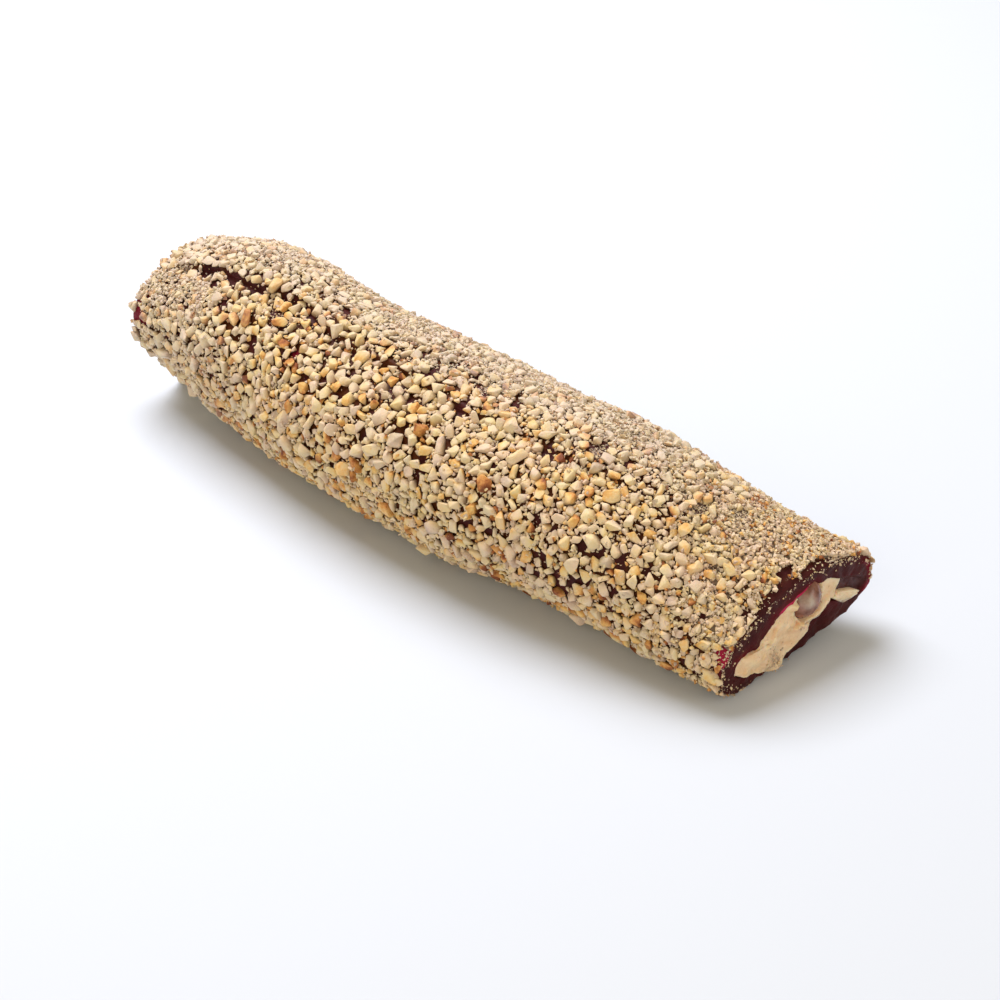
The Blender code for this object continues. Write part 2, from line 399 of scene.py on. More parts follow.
# At the right end: angle, how far the sheet has drawn back from the knife in mm.
DRAWN_BACK = (
    (-90, 3.0), (-70, 2.6), (-58, 1.4), (-50, 0.8), (-40, 0.8), (-25, 0.3), (0, 0.0), (180, 0.0),
    (205, 0.4), (230, 1.2), (255, 2.6), (270, 3.0),
)
# A hollow in the cut at the far side: angle, how deep below the face it starts, in mm.
HOLLOW_EDGE = ((-40, 0.4), (-26, 0.8), (-13, 2.8), (0, 5.2), (20, 7.4), (42, 6.6), (60, 6.0))
HOLLOW_ANGLES = (-34.0, -26.0, 41.0, 46.0)  # where it begins, is full, starts to close and ends
HOLLOW_DEPTH = 1.7


def from_below(angle):
    """The same angle as a number from -90 to 270. Both mean straight down."""
    return (np.asarray(angle) + 90.0) % 360.0 - 90.0


def wall_at(angle, along):
    """Thickness of the sheet in mm, thicker on top than underneath."""
    share = 0.5 + 0.5 * np.sin(np.radians(angle))
    plain = WALL_BELOW + (WALL_TOP - WALL_BELOW) * share
    at_cut = line_through(WALL_AT_CUT, from_below(angle))
    return plain + (at_cut - plain) * smooth_step(RIGHT_END - 18.0, RIGHT_END - 2.0, along)


def drawn_back(along, angle):
    """How far the sheet has drawn back near the right end, in mm."""
    plain = line_through(DRAWN_BACK, from_below(angle))
    return plain * smooth_step(RIGHT_END - 22.0, RIGHT_END, along)


def hollow(along, angle, depth):
    """How far the cut is hollowed out at the far side, in mm."""
    turned = from_below(angle)
    inside = plateau(turned, *HOLLOW_ANGLES)
    below = smooth_step(0.0, 1.8, depth - line_through(HOLLOW_EDGE, turned))
    return HOLLOW_DEPTH * inside * below * smooth_step(RIGHT_END - 16.0, RIGHT_END, along)


print("sheet on top and below, mm:", wall_at(np.array([90.0, -90.0]), 0.0).round(1))

# %% Rings of the jelly sheet
RING_POINTS = 190
SEAM_REST_ANGLE = SEAM_PLACES[-1][1]


def ring_angles():
    """Angles of a ring's points, closer together at the sheet's free edge and the far side's ledge."""
    plain = np.linspace(0.0, 360.0, RING_POINTS, endpoint=False)
    at_seam = SEAM_REST_ANGLE + np.array([-1.0, -0.6, -0.3, 0.0, 0.3, 0.6, 1.0])
    at_ledge = 360.0 + np.arange(-29.3, -14.0, 1.9)
    return np.sort(np.concatenate([plain, at_seam, at_ledge]))


def jelly_ring(along, share):
    """One ring at a share of the wall. It turns with the free edge, so that the step stays sharp."""
    base = ring_angles()
    follow = seam_angle(np.full_like(base, along)) - SEAM_REST_ANGLE
    nearness = 0.5 + 0.5 * np.cos(np.radians(base - SEAM_REST_ANGLE))
    angle = base + follow * nearness
    depth = share * wall_at(angle, along)
    points = on_roll(along, angle, -depth)
    points[:, 0] -= drawn_back(along, angle) + hollow(along, angle, depth)
    return points, angle


def jelly_rows():
    """(along, share of the wall) of each ring, from the outer left edge round to the inner left."""
    outside = [(a, 0.0) for a in np.linspace(LEFT_END + 0.5, RIGHT_END - 0.5, 240)]
    right_cut = [(RIGHT_END, s) for s in np.linspace(0.05, 0.96, 22)]
    inside_right = [(RIGHT_END - d, 1.0) for d in (0.4, 1.5, 3.0, 5.0, 8.0, 12.0, 16.0)]
    inside_left = [(LEFT_END + d, 1.0) for d in (14.0, 8.0, 3.0, 0.4)]
    left_cut = [(LEFT_END, s) for s in np.linspace(0.94, 0.07, 12)]
    return outside + right_cut + inside_right + inside_left + left_cut


rings = [jelly_ring(place, share) for place, share in jelly_rows()]
jelly_points, jelly_angles = (np.array(v) for v in zip(*rings))
jelly_along, jelly_share = (
    np.repeat(np.array(v)[:, None], jelly_angles.shape[1], axis=1) for v in zip(*jelly_rows())
)
print("jelly rings:", jelly_points.shape)

# %% [markdown]
# ## Bare places and fine places
#
# The nuts don't lie evenly. The foot of the sheet's free edge and a strip beside the cut stay
# nearly bare. On the crest, at the left end and at the near corner the pieces are finer, and over
# the middle they lie further apart. Each of these is a function of the place on the face. The
# jelly's material uses them for its dust, and the nuts use them later.

# %% Bare, fine and open places
# Spots with hardly any nuts: how far along, degrees round, radius in mm.
BARE_SPOTS = (
    (-99.5, 141.5, 1.6), (-85.5, 127.5, 2.2), (-65.5, 141.5, 2.4), (-62.5, 119.0, 3.2), (-51.0, 107.5, 1.8),
    (-48.0, 132.5, 1.3), (-2.5, 100.5, 2.8), (0.5, 89.0, 1.8), (15.0, 111.5, 2.4), (15.5, 93.5, 2.4),
    (27.5, 93.5, 1.8), (31.5, 121.0, 2.2), (36.0, 135.5, 1.7), (48.0, 112.5, 2.4), (59.5, 98.5, 3.2),
    (69.5, 95.5, 1.8), (91.0, 90.0, 2.2), (97.0, 74.5, 2.4), (72.5, 153.5, 2.2), (78.0, 151.0, 2.0),
    (84.5, 147.5, 2.3), (92.5, 139.0, 1.7), (71.5, 180.0, 2.4), (66.0, 187.0, 3.0), (74.5, 173.5, 2.0),
    (85.5, 167.5, 1.7), (110.5, 136.5, 1.3), (113.5, 157.0, 1.2), (117.0, 88.0, 1.5), (119.5, 95.0, 1.2),
    (119.8, 106.5, 1.0), (118.0, 116.5, 1.1), (120.3, 151.5, 2.2), (-121.8, 158.5, 3.7),
)
# Spots where fine dust and grains cover the jelly instead of nuts. The last number is their strength.
DUSTY_SPOTS = (
    (-113.0, 113.0, 4.0, 0.8), (18.0, 86.0, 5.0, 0.7), (31.0, 121.0, 3.0, 0.7), (59.5, 98.5, 4.0, 0.7),
    (97.0, 75.0, 6.5, 0.8), (91.0, 90.0, 3.5, 0.7), (117.0, 108.0, 3.0, 0.7), (120.3, 151.5, 3.2, 0.40),
    (121.0, 30.0, 4.5, 0.85), (121.0, 44.0, 4.5, 0.85), (121.0, 58.0, 3.0, 0.6), (-62.5, 119.0, 3.2, 0.55),
    (15.5, 93.5, 3.0, 0.6), (0.0, 92.0, 4.0, 0.6),
)
# The free edge's dark line: how far along, half its width in mm.
DARK_LINE = (
    (-125, -1.0), (-117, -0.6), (-114, 0.7), (-110, 1.2), (-107.5, -0.2), (-105, 1.0), (-101, 1.8),
    (-98, 1.6), (-96, -0.4), (-94, 1.0), (-91, 2.0), (-87, 1.9), (-84.5, -0.1), (-82.5, 0.9), (-78, 1.9),
    (-74, 1.2), (-71, -0.3), (-68, 0.3), (-64, 1.3), (-58, 0.8), (-52, 1.0), (-47, 0.1), (-40, 0.5),
    (-30, -0.2), (-20, -1.0),
)
# The bare strip beside the right cut: degrees round, width in mm. Below 0, pieces hang over the edge.
CUT_STRIP = (
    (-90, 6.0), (-20, 6.0), (-5, 1.5), (8, -0.5), (44, -1.0), (52, 0.2), (60, 1.7), (67, 2.3), (78, 2.5),
    (84, 1.8), (92, 2.5), (100, 2.3), (108, 1.8), (116, 1.2), (121, 0.2), (124, -1.0), (145, -1.0),
    (151, 0.3), (165, 1.0), (174, 0.2), (200, -0.5), (240, 1.0), (270, 6.0),
)
# Small gaps are strewn over the face's front, each as far along, degrees round and radius in mm. The
# near end's top, where the coat is fine, has none.
GAPS = 170
gap_draw = np.random.default_rng(14)
gap_ranges = ((LEFT_END + 6.0, RIGHT_END - 6.0), (88.0, 225.0), (0.9, 1.9))
gap_places = np.stack([gap_draw.uniform(low, high, GAPS) for low, high in gap_ranges], axis=-1)
gap_places = gap_places[(gap_places[:, 0] < 30.0) | (gap_places[:, 1] > 152.0)]


def radius_at(along):
    """About how far the face is from the roll's middle, in mm."""
    return 0.5 * sizes_at(along)[..., 1]


def away_from(along, angle, at, round_, radius):
    """Distance from a spot in mm, along a wavy measure that makes its outline ragged."""
    ahead = along - at
    aside = np.radians(angle - round_) * radius
    bearing = np.arctan2(aside, ahead)
    ragged = 1.0 + 0.22 * np.sin(3.0 * bearing + at) + 0.15 * np.sin(5.0 * bearing + 2.0 * at)
    return np.hypot(ahead, aside) * ragged


def room_for_nuts(along, angle):
    """0 where the jelly stays bare, 1 where nuts lie, and between them near an edge."""
    radius = radius_at(along)
    past = np.radians(angle - seam_angle(along)) * radius
    half_line = line_through(DARK_LINE, along) + 0.7 * np.sin(1.1 * along) * np.sin(0.31 * along + 2.0)
    half_line = half_line + 0.4 * np.sin(2.9 * along + 1.0)
    room = smooth_step(half_line, half_line + 0.9, np.abs(past - 1.0 - 0.5 * np.sin(0.8 * along)))
    strip = line_through(CUT_STRIP, from_below(angle))
    room = np.minimum(room, smooth_step(strip - 0.4, strip + 0.8, RIGHT_END - along))
    for at, round_, size in (*BARE_SPOTS, *gap_places):
        away = away_from(along, angle, at, round_, radius)
        room = np.minimum(room, smooth_step(0.75 * size, 1.15 * size, away))
    return room


def fineness(along, angle):
    """1 where only fine pieces lie, 0 where the coarse ones do."""
    crest = plateau(angle, 0.0, 40.0, 78.0, 110.0)
    left = smooth_step(-82.0, -96.0, along) * plateau(angle, 110.0, 118.0, 136.0, 154.0)
    right = smooth_step(88.0, 104.0, along) * plateau(angle, 15.0, 45.0, 175.0, 200.0)
    patches = 0.5 + 0.5 * np.sin(along / 9.0 + 1.3) * np.sin(angle / 13.0 + along / 31.0)
    return np.clip(0.50 * crest + 0.70 * left + 0.45 * right + 0.35 * patches, 0.0, 1.0)


def openness(along, angle):
    """1 where the nuts lie far enough apart to show the jelly between them, 0 elsewhere."""
    top = plateau(along, -92.0, -76.0, 0.0, 30.0) * plateau(angle, 84.0, 100.0, 138.0, 158.0)
    front = plateau(angle, 128.0, 152.0, 215.0, 250.0)
    patches = 0.5 + 0.5 * np.sin(along / 5.0 + 0.4) * np.sin(angle / 7.0 - along / 19.0)
    spread = (0.85 * top + 0.44 * front) * (0.45 + 0.55 * patches)
    return np.clip(spread + 0.25 * patches - 0.1, 0.0, 1.0)


print("bare spots:", len(BARE_SPOTS), "small gaps:", len(gap_places))

# %% [markdown]
# ### Marks of the knife, thin places and dust
#
# Where the jelly is thin, light shines through it and it looks wine red instead of almost black.
# That happens along the inner edge of the cut, and here that red light is painted into the colour.
# Nut dust clings to the face in soft patches. Both are worked out here as a number for each point,
# for the material to use.

# %% Numbers for the jelly's material
CUT_DUST = 0.24  # how dusty the cut faces are
uneven = np.random.default_rng(3)
on_cut = ((jelly_along >= RIGHT_END) | (jelly_along <= LEFT_END)).astype(float)
knife = wavering(uneven, jelly_points, 5.0, 0.28) + wavering(uneven, jelly_points, 1.8, 0.10)
jelly_points[..., 0] += knife * on_cut * np.where(jelly_along > 0.0, 1.0, -1.0)
right_cut = jelly_along >= RIGHT_END
turned = from_below(jelly_angles)
jelly_depth = jelly_share * wall_at(jelly_angles, jelly_along)
# How much painted red light, shining through the thin jelly, the inner half of the cut gets: degrees round,
# strength.
REDNESS = (
    (-90, 0.40), (-35, 0.45), (-28, 0.80), (24, 0.78), (36, 0.30), (55, 0.12), (75, 0.60), (106, 0.65),
    (118, 0.40), (136, 0.35), (146, 0.70), (158, 0.60), (172, 0.25), (270, 0.40),
)
inner = smooth_step(0.25, 0.70, jelly_share)
wet = np.clip(hollow(jelly_along, jelly_angles, jelly_depth) / HOLLOW_DEPTH, 0.0, 1.0) * on_cut
at_rim = plateau(turned, -36.0, -28.0, 18.0, 32.0) * smooth_step(3.6, 1.8, jelly_depth)
thin = np.where(right_cut, np.maximum(inner, at_rim) * (1.0 - wet), 0.7 * inner)
thin = on_cut * line_through(REDNESS, turned) * thin
# The crimson line, where the sheet is thinnest, over the kernel: light shining through, painted into the
# colour.
line = smooth_step(0.66, 0.84, jelly_share) * plateau(turned, 72.0, 78.0, 98.0, 114.0)
thin = np.maximum(thin, on_cut * right_cut * line)
# Thin places of the face, painted red for the light that shines through them: how far along, degrees round,
# radius in mm, strength.
THIN_PATCHES = (
    (-123.0, 160.0, 10.0, 0.80), (-48.0, 132.5, 2.4, 0.8), (120.3, 151.5, 4.0, 0.9),
    (121.0, 170.0, 4.0, 0.5), (121.0, 0.0, 8.0, 0.7),
)
for at, round_, size, strength in THIN_PATCHES:
    away = away_from(jelly_along, jelly_angles, at, round_, radius_at(jelly_along))
    thin = np.maximum(thin, strength * (jelly_share < 0.1) * (1.0 - smooth_step(0.5 * size, size, away)))


def dust_at(along, angle):
    """How dusty the jelly is, from 0 to 1: most where the coat is fine."""
    fine = smooth_step(0.25, 0.95, fineness(along, angle))
    fine = fine * (0.35 + 0.65 * smooth_step(-100.0, -40.0, along))
    near_end = smooth_step(35.0, 65.0, along) * smooth_step(165.0, 140.0, angle)
    dusty = (0.10 + 0.75 * fine + 0.30 * near_end) * (1.0 - 0.9 * openness(along, angle))
    dusty = dusty * room_for_nuts(along, angle)
    beside_cut = smooth_step(RIGHT_END - 5.0, RIGHT_END - 0.5, along)
    dusty = np.maximum(dusty, 0.42 * beside_cut * plateau(angle, 45.0, 60.0, 118.0, 130.0))
    radius = radius_at(along)
    for at, round_, size, strength in DUSTY_SPOTS:
        away = away_from(along, angle, at, round_, radius)
        dusty = np.maximum(dusty, strength * smooth_step(size, 0.4 * size, away))
    return dusty


dust = np.where(jelly_share == 0.0, dust_at(jelly_along, jelly_angles), CUT_DUST * on_cut)
coated = room_for_nuts(jelly_along, jelly_angles) * (jelly_share < 0.05)
print("coated share of the outer face:", round(float(coated[jelly_share == 0.0].mean()), 2))

# %% [markdown]
# ### The look of the jelly
#
# Fruit jelly of this kind is almost black with a plum tint, glossy where it is bare, and wine red
# where light gets through; here that red light is painted into the colour, and a little subsurface
# scattering adds to it. Dust is paler, dull and slightly lilac, and comes in specks, so fine noise
# decides where it sits. In the hollow at the far side of the cut the jelly is wet, and the light on it
# is painted into the colour as a pale sheen, in clouds.

# %% Jelly material


def noise(tree, scale, detail=4.0, roughness=0.55, stretch=(1.0, 1.0, 1.0)):
    """The factor of a noise pattern in the object's own coordinates; scale is per metre."""
    place = tree.nodes.new("ShaderNodeTexCoord")
    fit = tree.nodes.new("ShaderNodeMapping")
    fit.inputs["Scale"].default_value = stretch
    made = tree.nodes.new("ShaderNodeTexNoise")
    made.inputs["Scale"].default_value = scale
    made.inputs["Detail"].default_value = detail
    made.inputs["Roughness"].default_value = roughness
    tree.links.new(place.outputs["Object"], fit.inputs["Vector"])
    tree.links.new(fit.outputs["Vector"], made.inputs["Vector"])
    return made.outputs["Fac"]


def ramp(tree, factor, stops):
    """A colour ramp through (position, colour) stops."""
    made = tree.nodes.new("ShaderNodeValToRGB")
    band = made.color_ramp
    while len(band.elements) < len(stops):
        band.elements.new(0.5)
    for element, (position, colour) in zip(band.elements, stops):
        element.position = position
        element.color = (*colour, 1.0)
    tree.links.new(factor, made.inputs["Fac"])
    return made.outputs["Color"]


def mixed(tree, factor, first, second, blend="MIX"):
    """A mix of two colours, each a socket or a plain colour. The factor is a socket or a number."""
    made = tree.nodes.new("ShaderNodeMix")
    made.data_type = "RGBA"
    made.blend_type = blend
    if isinstance(factor, float):
        made.inputs["Factor"].default_value = factor
    else:
        tree.links.new(factor, made.inputs["Factor"])
    for socket, colour in ((made.inputs[6], first), (made.inputs[7], second)):
        if isinstance(colour, tuple):
            socket.default_value = (*colour, 1.0)
        else:
            tree.links.new(colour, socket)
    return made.outputs[2]


def grey(value):
    """A colour without a hue."""
    return (value, value, value)


def stored(tree, name):
    """A number stored on the mesh."""
    made = tree.nodes.new("ShaderNodeAttribute")
    made.attribute_name = name
    return made.outputs["Fac"]


def calculated(tree, operation, *terms):
    """One arithmetic step on sockets or numbers."""
    made = tree.nodes.new("ShaderNodeMath")
    made.operation = operation
    for socket, term in zip(made.inputs, terms):
        if isinstance(term, (int, float)):
            socket.default_value = term
        else:
            tree.links.new(term, socket)
    return made.outputs["Value"]


def bumps(tree, shader, height, strength, distance):
    """Fine relief, `distance` metres deep."""
    made = tree.nodes.new("ShaderNodeBump")
    made.inputs["Strength"].default_value = strength
    made.inputs["Distance"].default_value = distance
    tree.links.new(height, made.inputs["Height"])
    tree.links.new(made.outputs["Normal"], shader.inputs["Normal"])


def glow_within(weight, radius, scale):
    """Subsurface scattering: how much, how far each colour goes, and the unit of that in metres."""
    return {"Subsurface Weight": weight, "Subsurface Radius": radius, "Subsurface Scale": scale}


SHINE = "Specular IOR Level"
PLUM = (0.046, 0.0082, 0.0085)
PLUM_LIGHT = (0.072, 0.0145, 0.0130)
WINE = (0.105, 0.0055, 0.0090)
CRIMSON = (0.50, 0.020, 0.080)
WARM_GAP_SHADE = (0.074, 0.0190, 0.0048)
PAINTED_SHEEN = (0.120, 0.062, 0.066)
WET_GLOSS = 0.28  # how much smoother the wet hollow is
NUT_DUST = (0.36, 0.275, 0.21)

jelly_look, tree, shader = new_look("fruit jelly")
body = ramp(tree, noise(tree, 160.0), [(0.35, PLUM), (0.70, PLUM_LIGHT)])
# Where nuts lie, the bare jelly between them is painted a warmer brown: painted warm shade in the gaps.
between = mixed(tree, stored(tree, "coated"), body, WARM_GAP_SHADE)
# Painted light: the red of light shining through thin jelly, laid into the base colour.
red = ramp(tree, stored(tree, "thin"), [(0.0, PLUM), (0.75, WINE), (1.0, CRIMSON)])
how_thin = calculated(tree, "MULTIPLY", stored(tree, "thin"), 1.5)
lit = mixed(tree, calculated(tree, "MINIMUM", how_thin, 1.0), between, red)
# Painted sheen: the light on the wet hollow is laid into the colour as pale clouds.
cloud = ramp(tree, noise(tree, 260.0, 3.0, 0.5), [(0.38, grey(0.1)), (0.62, grey(0.9))])
sheen_mask = calculated(tree, "MULTIPLY", stored(tree, "wet"), cloud)
sheened = mixed(tree, sheen_mask, lit, PAINTED_SHEEN)
specks = noise(tree, 900.0, 3.0, 0.75)
patch = calculated(tree, "MULTIPLY", stored(tree, "dust"), specks)
cling = ramp(tree, patch, [(0.30, grey(0.0)), (0.44, grey(1.0))])
tree.links.new(mixed(tree, cling, sheened, NUT_DUST), shader.inputs["Base Color"])
dull = ramp(tree, cling, [(0.0, grey(0.46)), (1.0, grey(0.85))])
gloss = calculated(tree, "MULTIPLY", stored(tree, "wet"), WET_GLOSS)
tree.links.new(calculated(tree, "SUBTRACT", dull, gloss), shader.inputs["Roughness"])
set_inputs(shader, {SHINE: 0.08, **glow_within(0.25, (1.0, 0.15, 0.22), 0.0025)})
bumps(tree, shader, noise(tree, 520.0, 5.0, 0.6), 0.6, 0.0006)

jelly = make_piece(
    "jelly_sheet",
    jelly_points.reshape(-1, 3),
    grid_faces(*jelly_points.shape[:2], wrap_rows=True),
    jelly_look,
    {"thin": thin, "dust": dust, "coated": coated, "wet": wet},
)
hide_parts("jelly_wrap")

# %% [markdown]
# ## The cream
#
# The cream fills the sheet from end to end. The knife dragged it, so at the right end it stands out
# in smeared flakes, with a ragged lower edge over the drawn-back jelly. Each end is a disc of rings
# that shrink to a point, and a function of the place on the cut pushes its surface in and out.

# %% Shape of the cream
CREAM_POINTS = 240
CREAM_DISC_RINGS = 56
SIDE_LAP = 0.3  # the cream reaches this far into the jelly, so that no gap shows

# The cream's lower edge at the right cut, as y and z in mm.
LOWER_EDGE = (
    (-32, 6.0), (-19, 7.6), (-16.3, 5.6), (-11.4, 4.6), (-8, 3.0), (-5, 1.9), (-2.1, 2.0), (0.1, 4.2),
    (1.7, 5.6), (4.5, 6.2), (7.3, 7.4), (9.5, 9.9), (11.0, 11.2), (13.7, 12.2), (14.3, 13.6), (16.5, 14.9),
    (18.4, 16.0), (20.6, 14.5), (23.5, 11.9), (27.0, 9.9), (29.9, 10.4), (31.9, 11.8), (37, 12.4),
)
# The right kernel's seat: its middle (y, z), its direction and its two radii.
SOCKET = (9.2, 20.7, 0.48, 0.87, 6.2, 5.3)
SOCKET_DEPTH = 3.5
# The left kernel's seat: its middle (y, z), and where its side starts and ends.
LEFT_SEAT = (7.5, 29.0, 6.6, 5.0)
LEFT_SEAT_DEPTH = 1.0
EDGE_LIFT = 0.8  # the cream stands out a little, which makes its edge look lower, so it is set higher
SHRUNK_BELOW = 6.5  # below its lower edge the cream has drawn back this far from the cut
# Shavings on each cut: where their line starts and ends (y, z), their height and their slope's length.
RIGHT_SHAVINGS = (
    ((17.0, 18.8), (3.0, 14.0), 1.5, 4.0),
    ((2.5, 22.5), (5.5, 14.5), 1.2, 3.0),
    ((-16.0, 8.0), (-4.0, 15.0), 1.3, 4.0),
    ((-2.0, 18.5), (-10.0, 10.0), 1.0, 3.0),
)
LEFT_SHAVINGS = (
    ((-14.0, 12.0), (4.0, 18.0), 1.2, 5.0),
    ((16.0, 38.0), (20.0, 20.0), 1.0, 5.0),
    ((-8.0, 40.0), (-16.0, 28.0), 0.8, 4.0),
)


def flake(y, z, start, end, height, slope):
    """A shaving of cream: it rises slowly towards a line and drops sharply just past it."""
    (y0, z0), (y1, z1) = start, end
    length = math.hypot(y1 - y0, z1 - z0)
    run = ((y - y0) * (y1 - y0) + (z - z0) * (z1 - z0)) / length
    off = ((y - y0) * (z1 - z0) - (z - z0) * (y1 - y0)) / length
    rising = np.clip(1.0 + off / slope, 0.0, 1.0)
    dropping = 1.0 - smooth_step(0.0, 0.5, off)
    inside = plateau(run, -1.5, 1.0, length - 1.0, length + 1.5)
    return height * inside * np.where(off < 0.0, rising, dropping)


def right_relief(y, z):
    """How far the right cut's cream stands out, in mm, at each place on the cut."""
    above = z - line_through(LOWER_EDGE, y) - EDGE_LIFT
    lip = 0.7 * np.exp(-np.clip(above, 0.0, None) / 4.0) + 0.1
    folds = 0.5 * np.sin(0.42 * y + 0.5 * z + 1.2 * np.sin(0.33 * z + 0.2 * y))
    face = lip + folds + sum(flake(y, z, *shaving) for shaving in RIGHT_SHAVINGS)
    face = face + (-SHRUNK_BELOW - face) * smooth_step(0.3, -0.5, above)
    y0, z0, way_y, way_z, long, wide = SOCKET
    lengthwise = ((y - y0) * way_y + (z - z0) * way_z) / long
    crosswise = ((z - z0) * way_y - (y - y0) * way_z) / wide
    return face + (-SOCKET_DEPTH - face) * smooth_step(1.05, 0.8, np.hypot(lengthwise, crosswise))


def left_relief(y, z):
    """The left cut's cream, nearly flat with a few drags of the knife."""
    face = 0.9 + 0.4 * np.sin(0.30 * y - 0.45 * z + 1.5 * np.sin(0.2 * y + 0.1 * z))
    face = face + sum(flake(y, z, *shaving) for shaving in LEFT_SHAVINGS)
    y0, z0, outer, inner = LEFT_SEAT
    return face + (-LEFT_SEAT_DEPTH - face) * smooth_step(outer, inner, np.hypot(y - y0, z - z0))


def cream_disc(end, relief, sign):
    """Rings from the cut's edge to its middle."""
    angle = np.linspace(0.0, 360.0, CREAM_POINTS, endpoint=False)
    edge = on_roll(end, angle, SIDE_LAP - wall_at(angle, end))
    centre = edge.mean(axis=0)
    rings = []
    for k in range(CREAM_DISC_RINGS):
        share = 1.0 - k / (CREAM_DISC_RINGS - 0.5)
        ring = centre + (edge - centre) * share
        push = relief(ring[:, 1], ring[:, 2])
        rounded = np.minimum(push, 0.0) + np.maximum(push, 0.0) * smooth_step(1.0, 0.9, share)
        ring[:, 0] += sign * rounded
        rings.append(ring)
    return np.array(rings)


left_disc = cream_disc(LEFT_END, left_relief, -1.0)
right_disc = cream_disc(RIGHT_END, right_relief, 1.0)
smear_draw = np.random.default_rng(11)
for disc in (left_disc, right_disc):
    broad = wavering(smear_draw, disc * (1.0, 1.0, 1.6), 6.0, 0.30)
    disc[..., 0] += broad + wavering(smear_draw, disc, 2.2, 0.12)

print("cream at the right cut stands out by up to, mm:", round(right_disc[..., 0].max() - RIGHT_END, 1))

# %% Side of the cream
SHRINKING_FROM = 30.0  # the sides follow the shrunken edges over this distance
side_angles = np.linspace(0.0, 360.0, CREAM_POINTS, endpoint=False)
far_places = np.linspace(LEFT_END + 4.0, RIGHT_END - SHRINKING_FROM, 22)
near_places = RIGHT_END - np.arange(27.0, 2.0, -3.0)
pulled = right_disc[0][:, 0] - on_roll(RIGHT_END, side_angles, -5.0)[:, 0]
side_rings = []
for place in np.concatenate([far_places, near_places]):
    ring = on_roll(place, side_angles, SIDE_LAP - wall_at(side_angles, place))
    ring[:, 0] += np.minimum(pulled, 0.0) * smooth_step(RIGHT_END - SHRINKING_FROM, RIGHT_END, place)
    side_rings.append(ring)
cream_points = np.concatenate([left_disc[::-1], np.array(side_rings), right_disc])
print("cream rings:", cream_points.shape)

# %% [markdown]
# ### The look of the cream
#
# Hazelnut cream is a warm beige. It is soft inside to the light, so subsurface scattering matters
# more than colour detail, but small lighter and darker smears and specks of ground nut keep it real.

# %% Cream material
CREAM_PALE = (0.90, 0.69, 0.45)
CREAM_WARM = (0.78, 0.52, 0.29)
NUT_SPECK = (0.42, 0.25, 0.13)
SMUDGE = (0.26, 0.205, 0.17)
# Where ground nut is smudged over the right cut: y, z and the reach both ways, in mm.
SMUDGE_AT = (-3.6, 5.8, 3.2, 2.6)

cream_look, tree, shader = new_look("hazelnut cream")
smear = noise(tree, 170.0, 5.0, 0.6, (1.0, 1.0, 2.2))
base = ramp(tree, smear, [(0.32, CREAM_WARM), (0.62, CREAM_PALE)])
ground = ramp(tree, noise(tree, 900.0, 2.0, 0.5), [(0.68, grey(0.0)), (0.76, grey(0.8))])
specked = mixed(tree, ground, base, NUT_SPECK)
grit = ramp(tree, noise(tree, 620.0, 4.0, 0.7), [(0.44, grey(0.0)), (0.60, grey(1.0))])
smudged = calculated(tree, "MULTIPLY", grit, stored(tree, "smudge"))
tree.links.new(mixed(tree, smudged, specked, SMUDGE), shader.inputs["Base Color"])
set_inputs(shader, {"Roughness": 0.48, **glow_within(0.6, (1.0, 0.62, 0.38), 0.003)})
bumps(tree, shader, noise(tree, 330.0, 6.0, 0.62, (1.0, 1.0, 1.8)), 0.8, 0.0008)

flat_cream = cream_points.reshape(-1, 3)
y0, z0, reach_y, reach_z = SMUDGE_AT
smudge = np.exp(-(((flat_cream[:, 1] - y0) / reach_y) ** 2) - ((flat_cream[:, 2] - z0) / reach_z) ** 2)
smudge = 0.9 * smudge * (flat_cream[:, 0] > RIGHT_END - 6.0)
cream = make_piece("cream", flat_cream, grid_faces(*cream_points.shape[:2]), cream_look, {"smudge": smudge})


def close_discs(piece, columns):
    """Closes the small hole that is left in the middle of each disc."""
    bm = bmesh.new()
    bm.from_mesh(piece.data)
    bm.verts.ensure_lookup_table()
    last = len(bm.verts) - columns
    for first in (0, last):
        ring = [bm.verts[first + k] for k in range(columns)]
        middle = bm.verts.new(sum((v.co for v in ring), Vector()) / columns)
        for k in range(columns):
            bm.faces.new((ring[k], ring[(k + 1) % columns], middle))
        bm.verts.ensure_lookup_table()
    bmesh.ops.recalc_face_normals(bm, faces=bm.faces)
    bm.to_mesh(piece.data)
    bm.free()


close_discs(cream, CREAM_POINTS)
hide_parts("cream_core")

# %% [markdown]
# ## The whole kernels
#
# A kernel lies in each end. A hazelnut is a ball that draws in to a blunt tip, with thin brown skin
# that is a little wrinkled lengthwise, and here cream is smeared over parts of it. A pale patch of
# that cream also serves as a painted highlight.

# %% Kernels
# Middle, half its length, half its thickness, and the way its tip points.
KERNELS = {
    "hazelnut_right": ((119.7, 9.7, 20.3), 6.3, 5.2, (0.25, 0.45, 0.86)),
    "hazelnut_left": ((-119.6, 7.5, 29.0), 7.6, 6.6, (0.95, 0.0, 0.31)),
}

HIGHLIGHT_SMEAR_OFF = (-2.5, 1.5)  # a pale patch, partly a smear of cream and partly a painted highlight, lies this far from the kernel's middle, in y and z
SKIN_DARK, SKIN_LIGHT = (0.13, 0.040, 0.024), (0.37, 0.165, 0.110)
CREAM_FILM_AND_HIGHLIGHT = (0.50, 0.43, 0.33)
AROUND_KERNEL, KERNEL_RINGS = 48, 32

kernel_look, tree, shader = new_look("kernel skin")
wrinkles = noise(tree, 260.0, 5.0, 0.6, (0.5, 1.0, 1.0))
skin = ramp(tree, wrinkles, [(0.36, SKIN_DARK), (0.66, SKIN_LIGHT)])
streaks = ramp(tree, noise(tree, 420.0, 4.0, 0.6), [(0.30, grey(0.3)), (0.60, grey(1.0))])
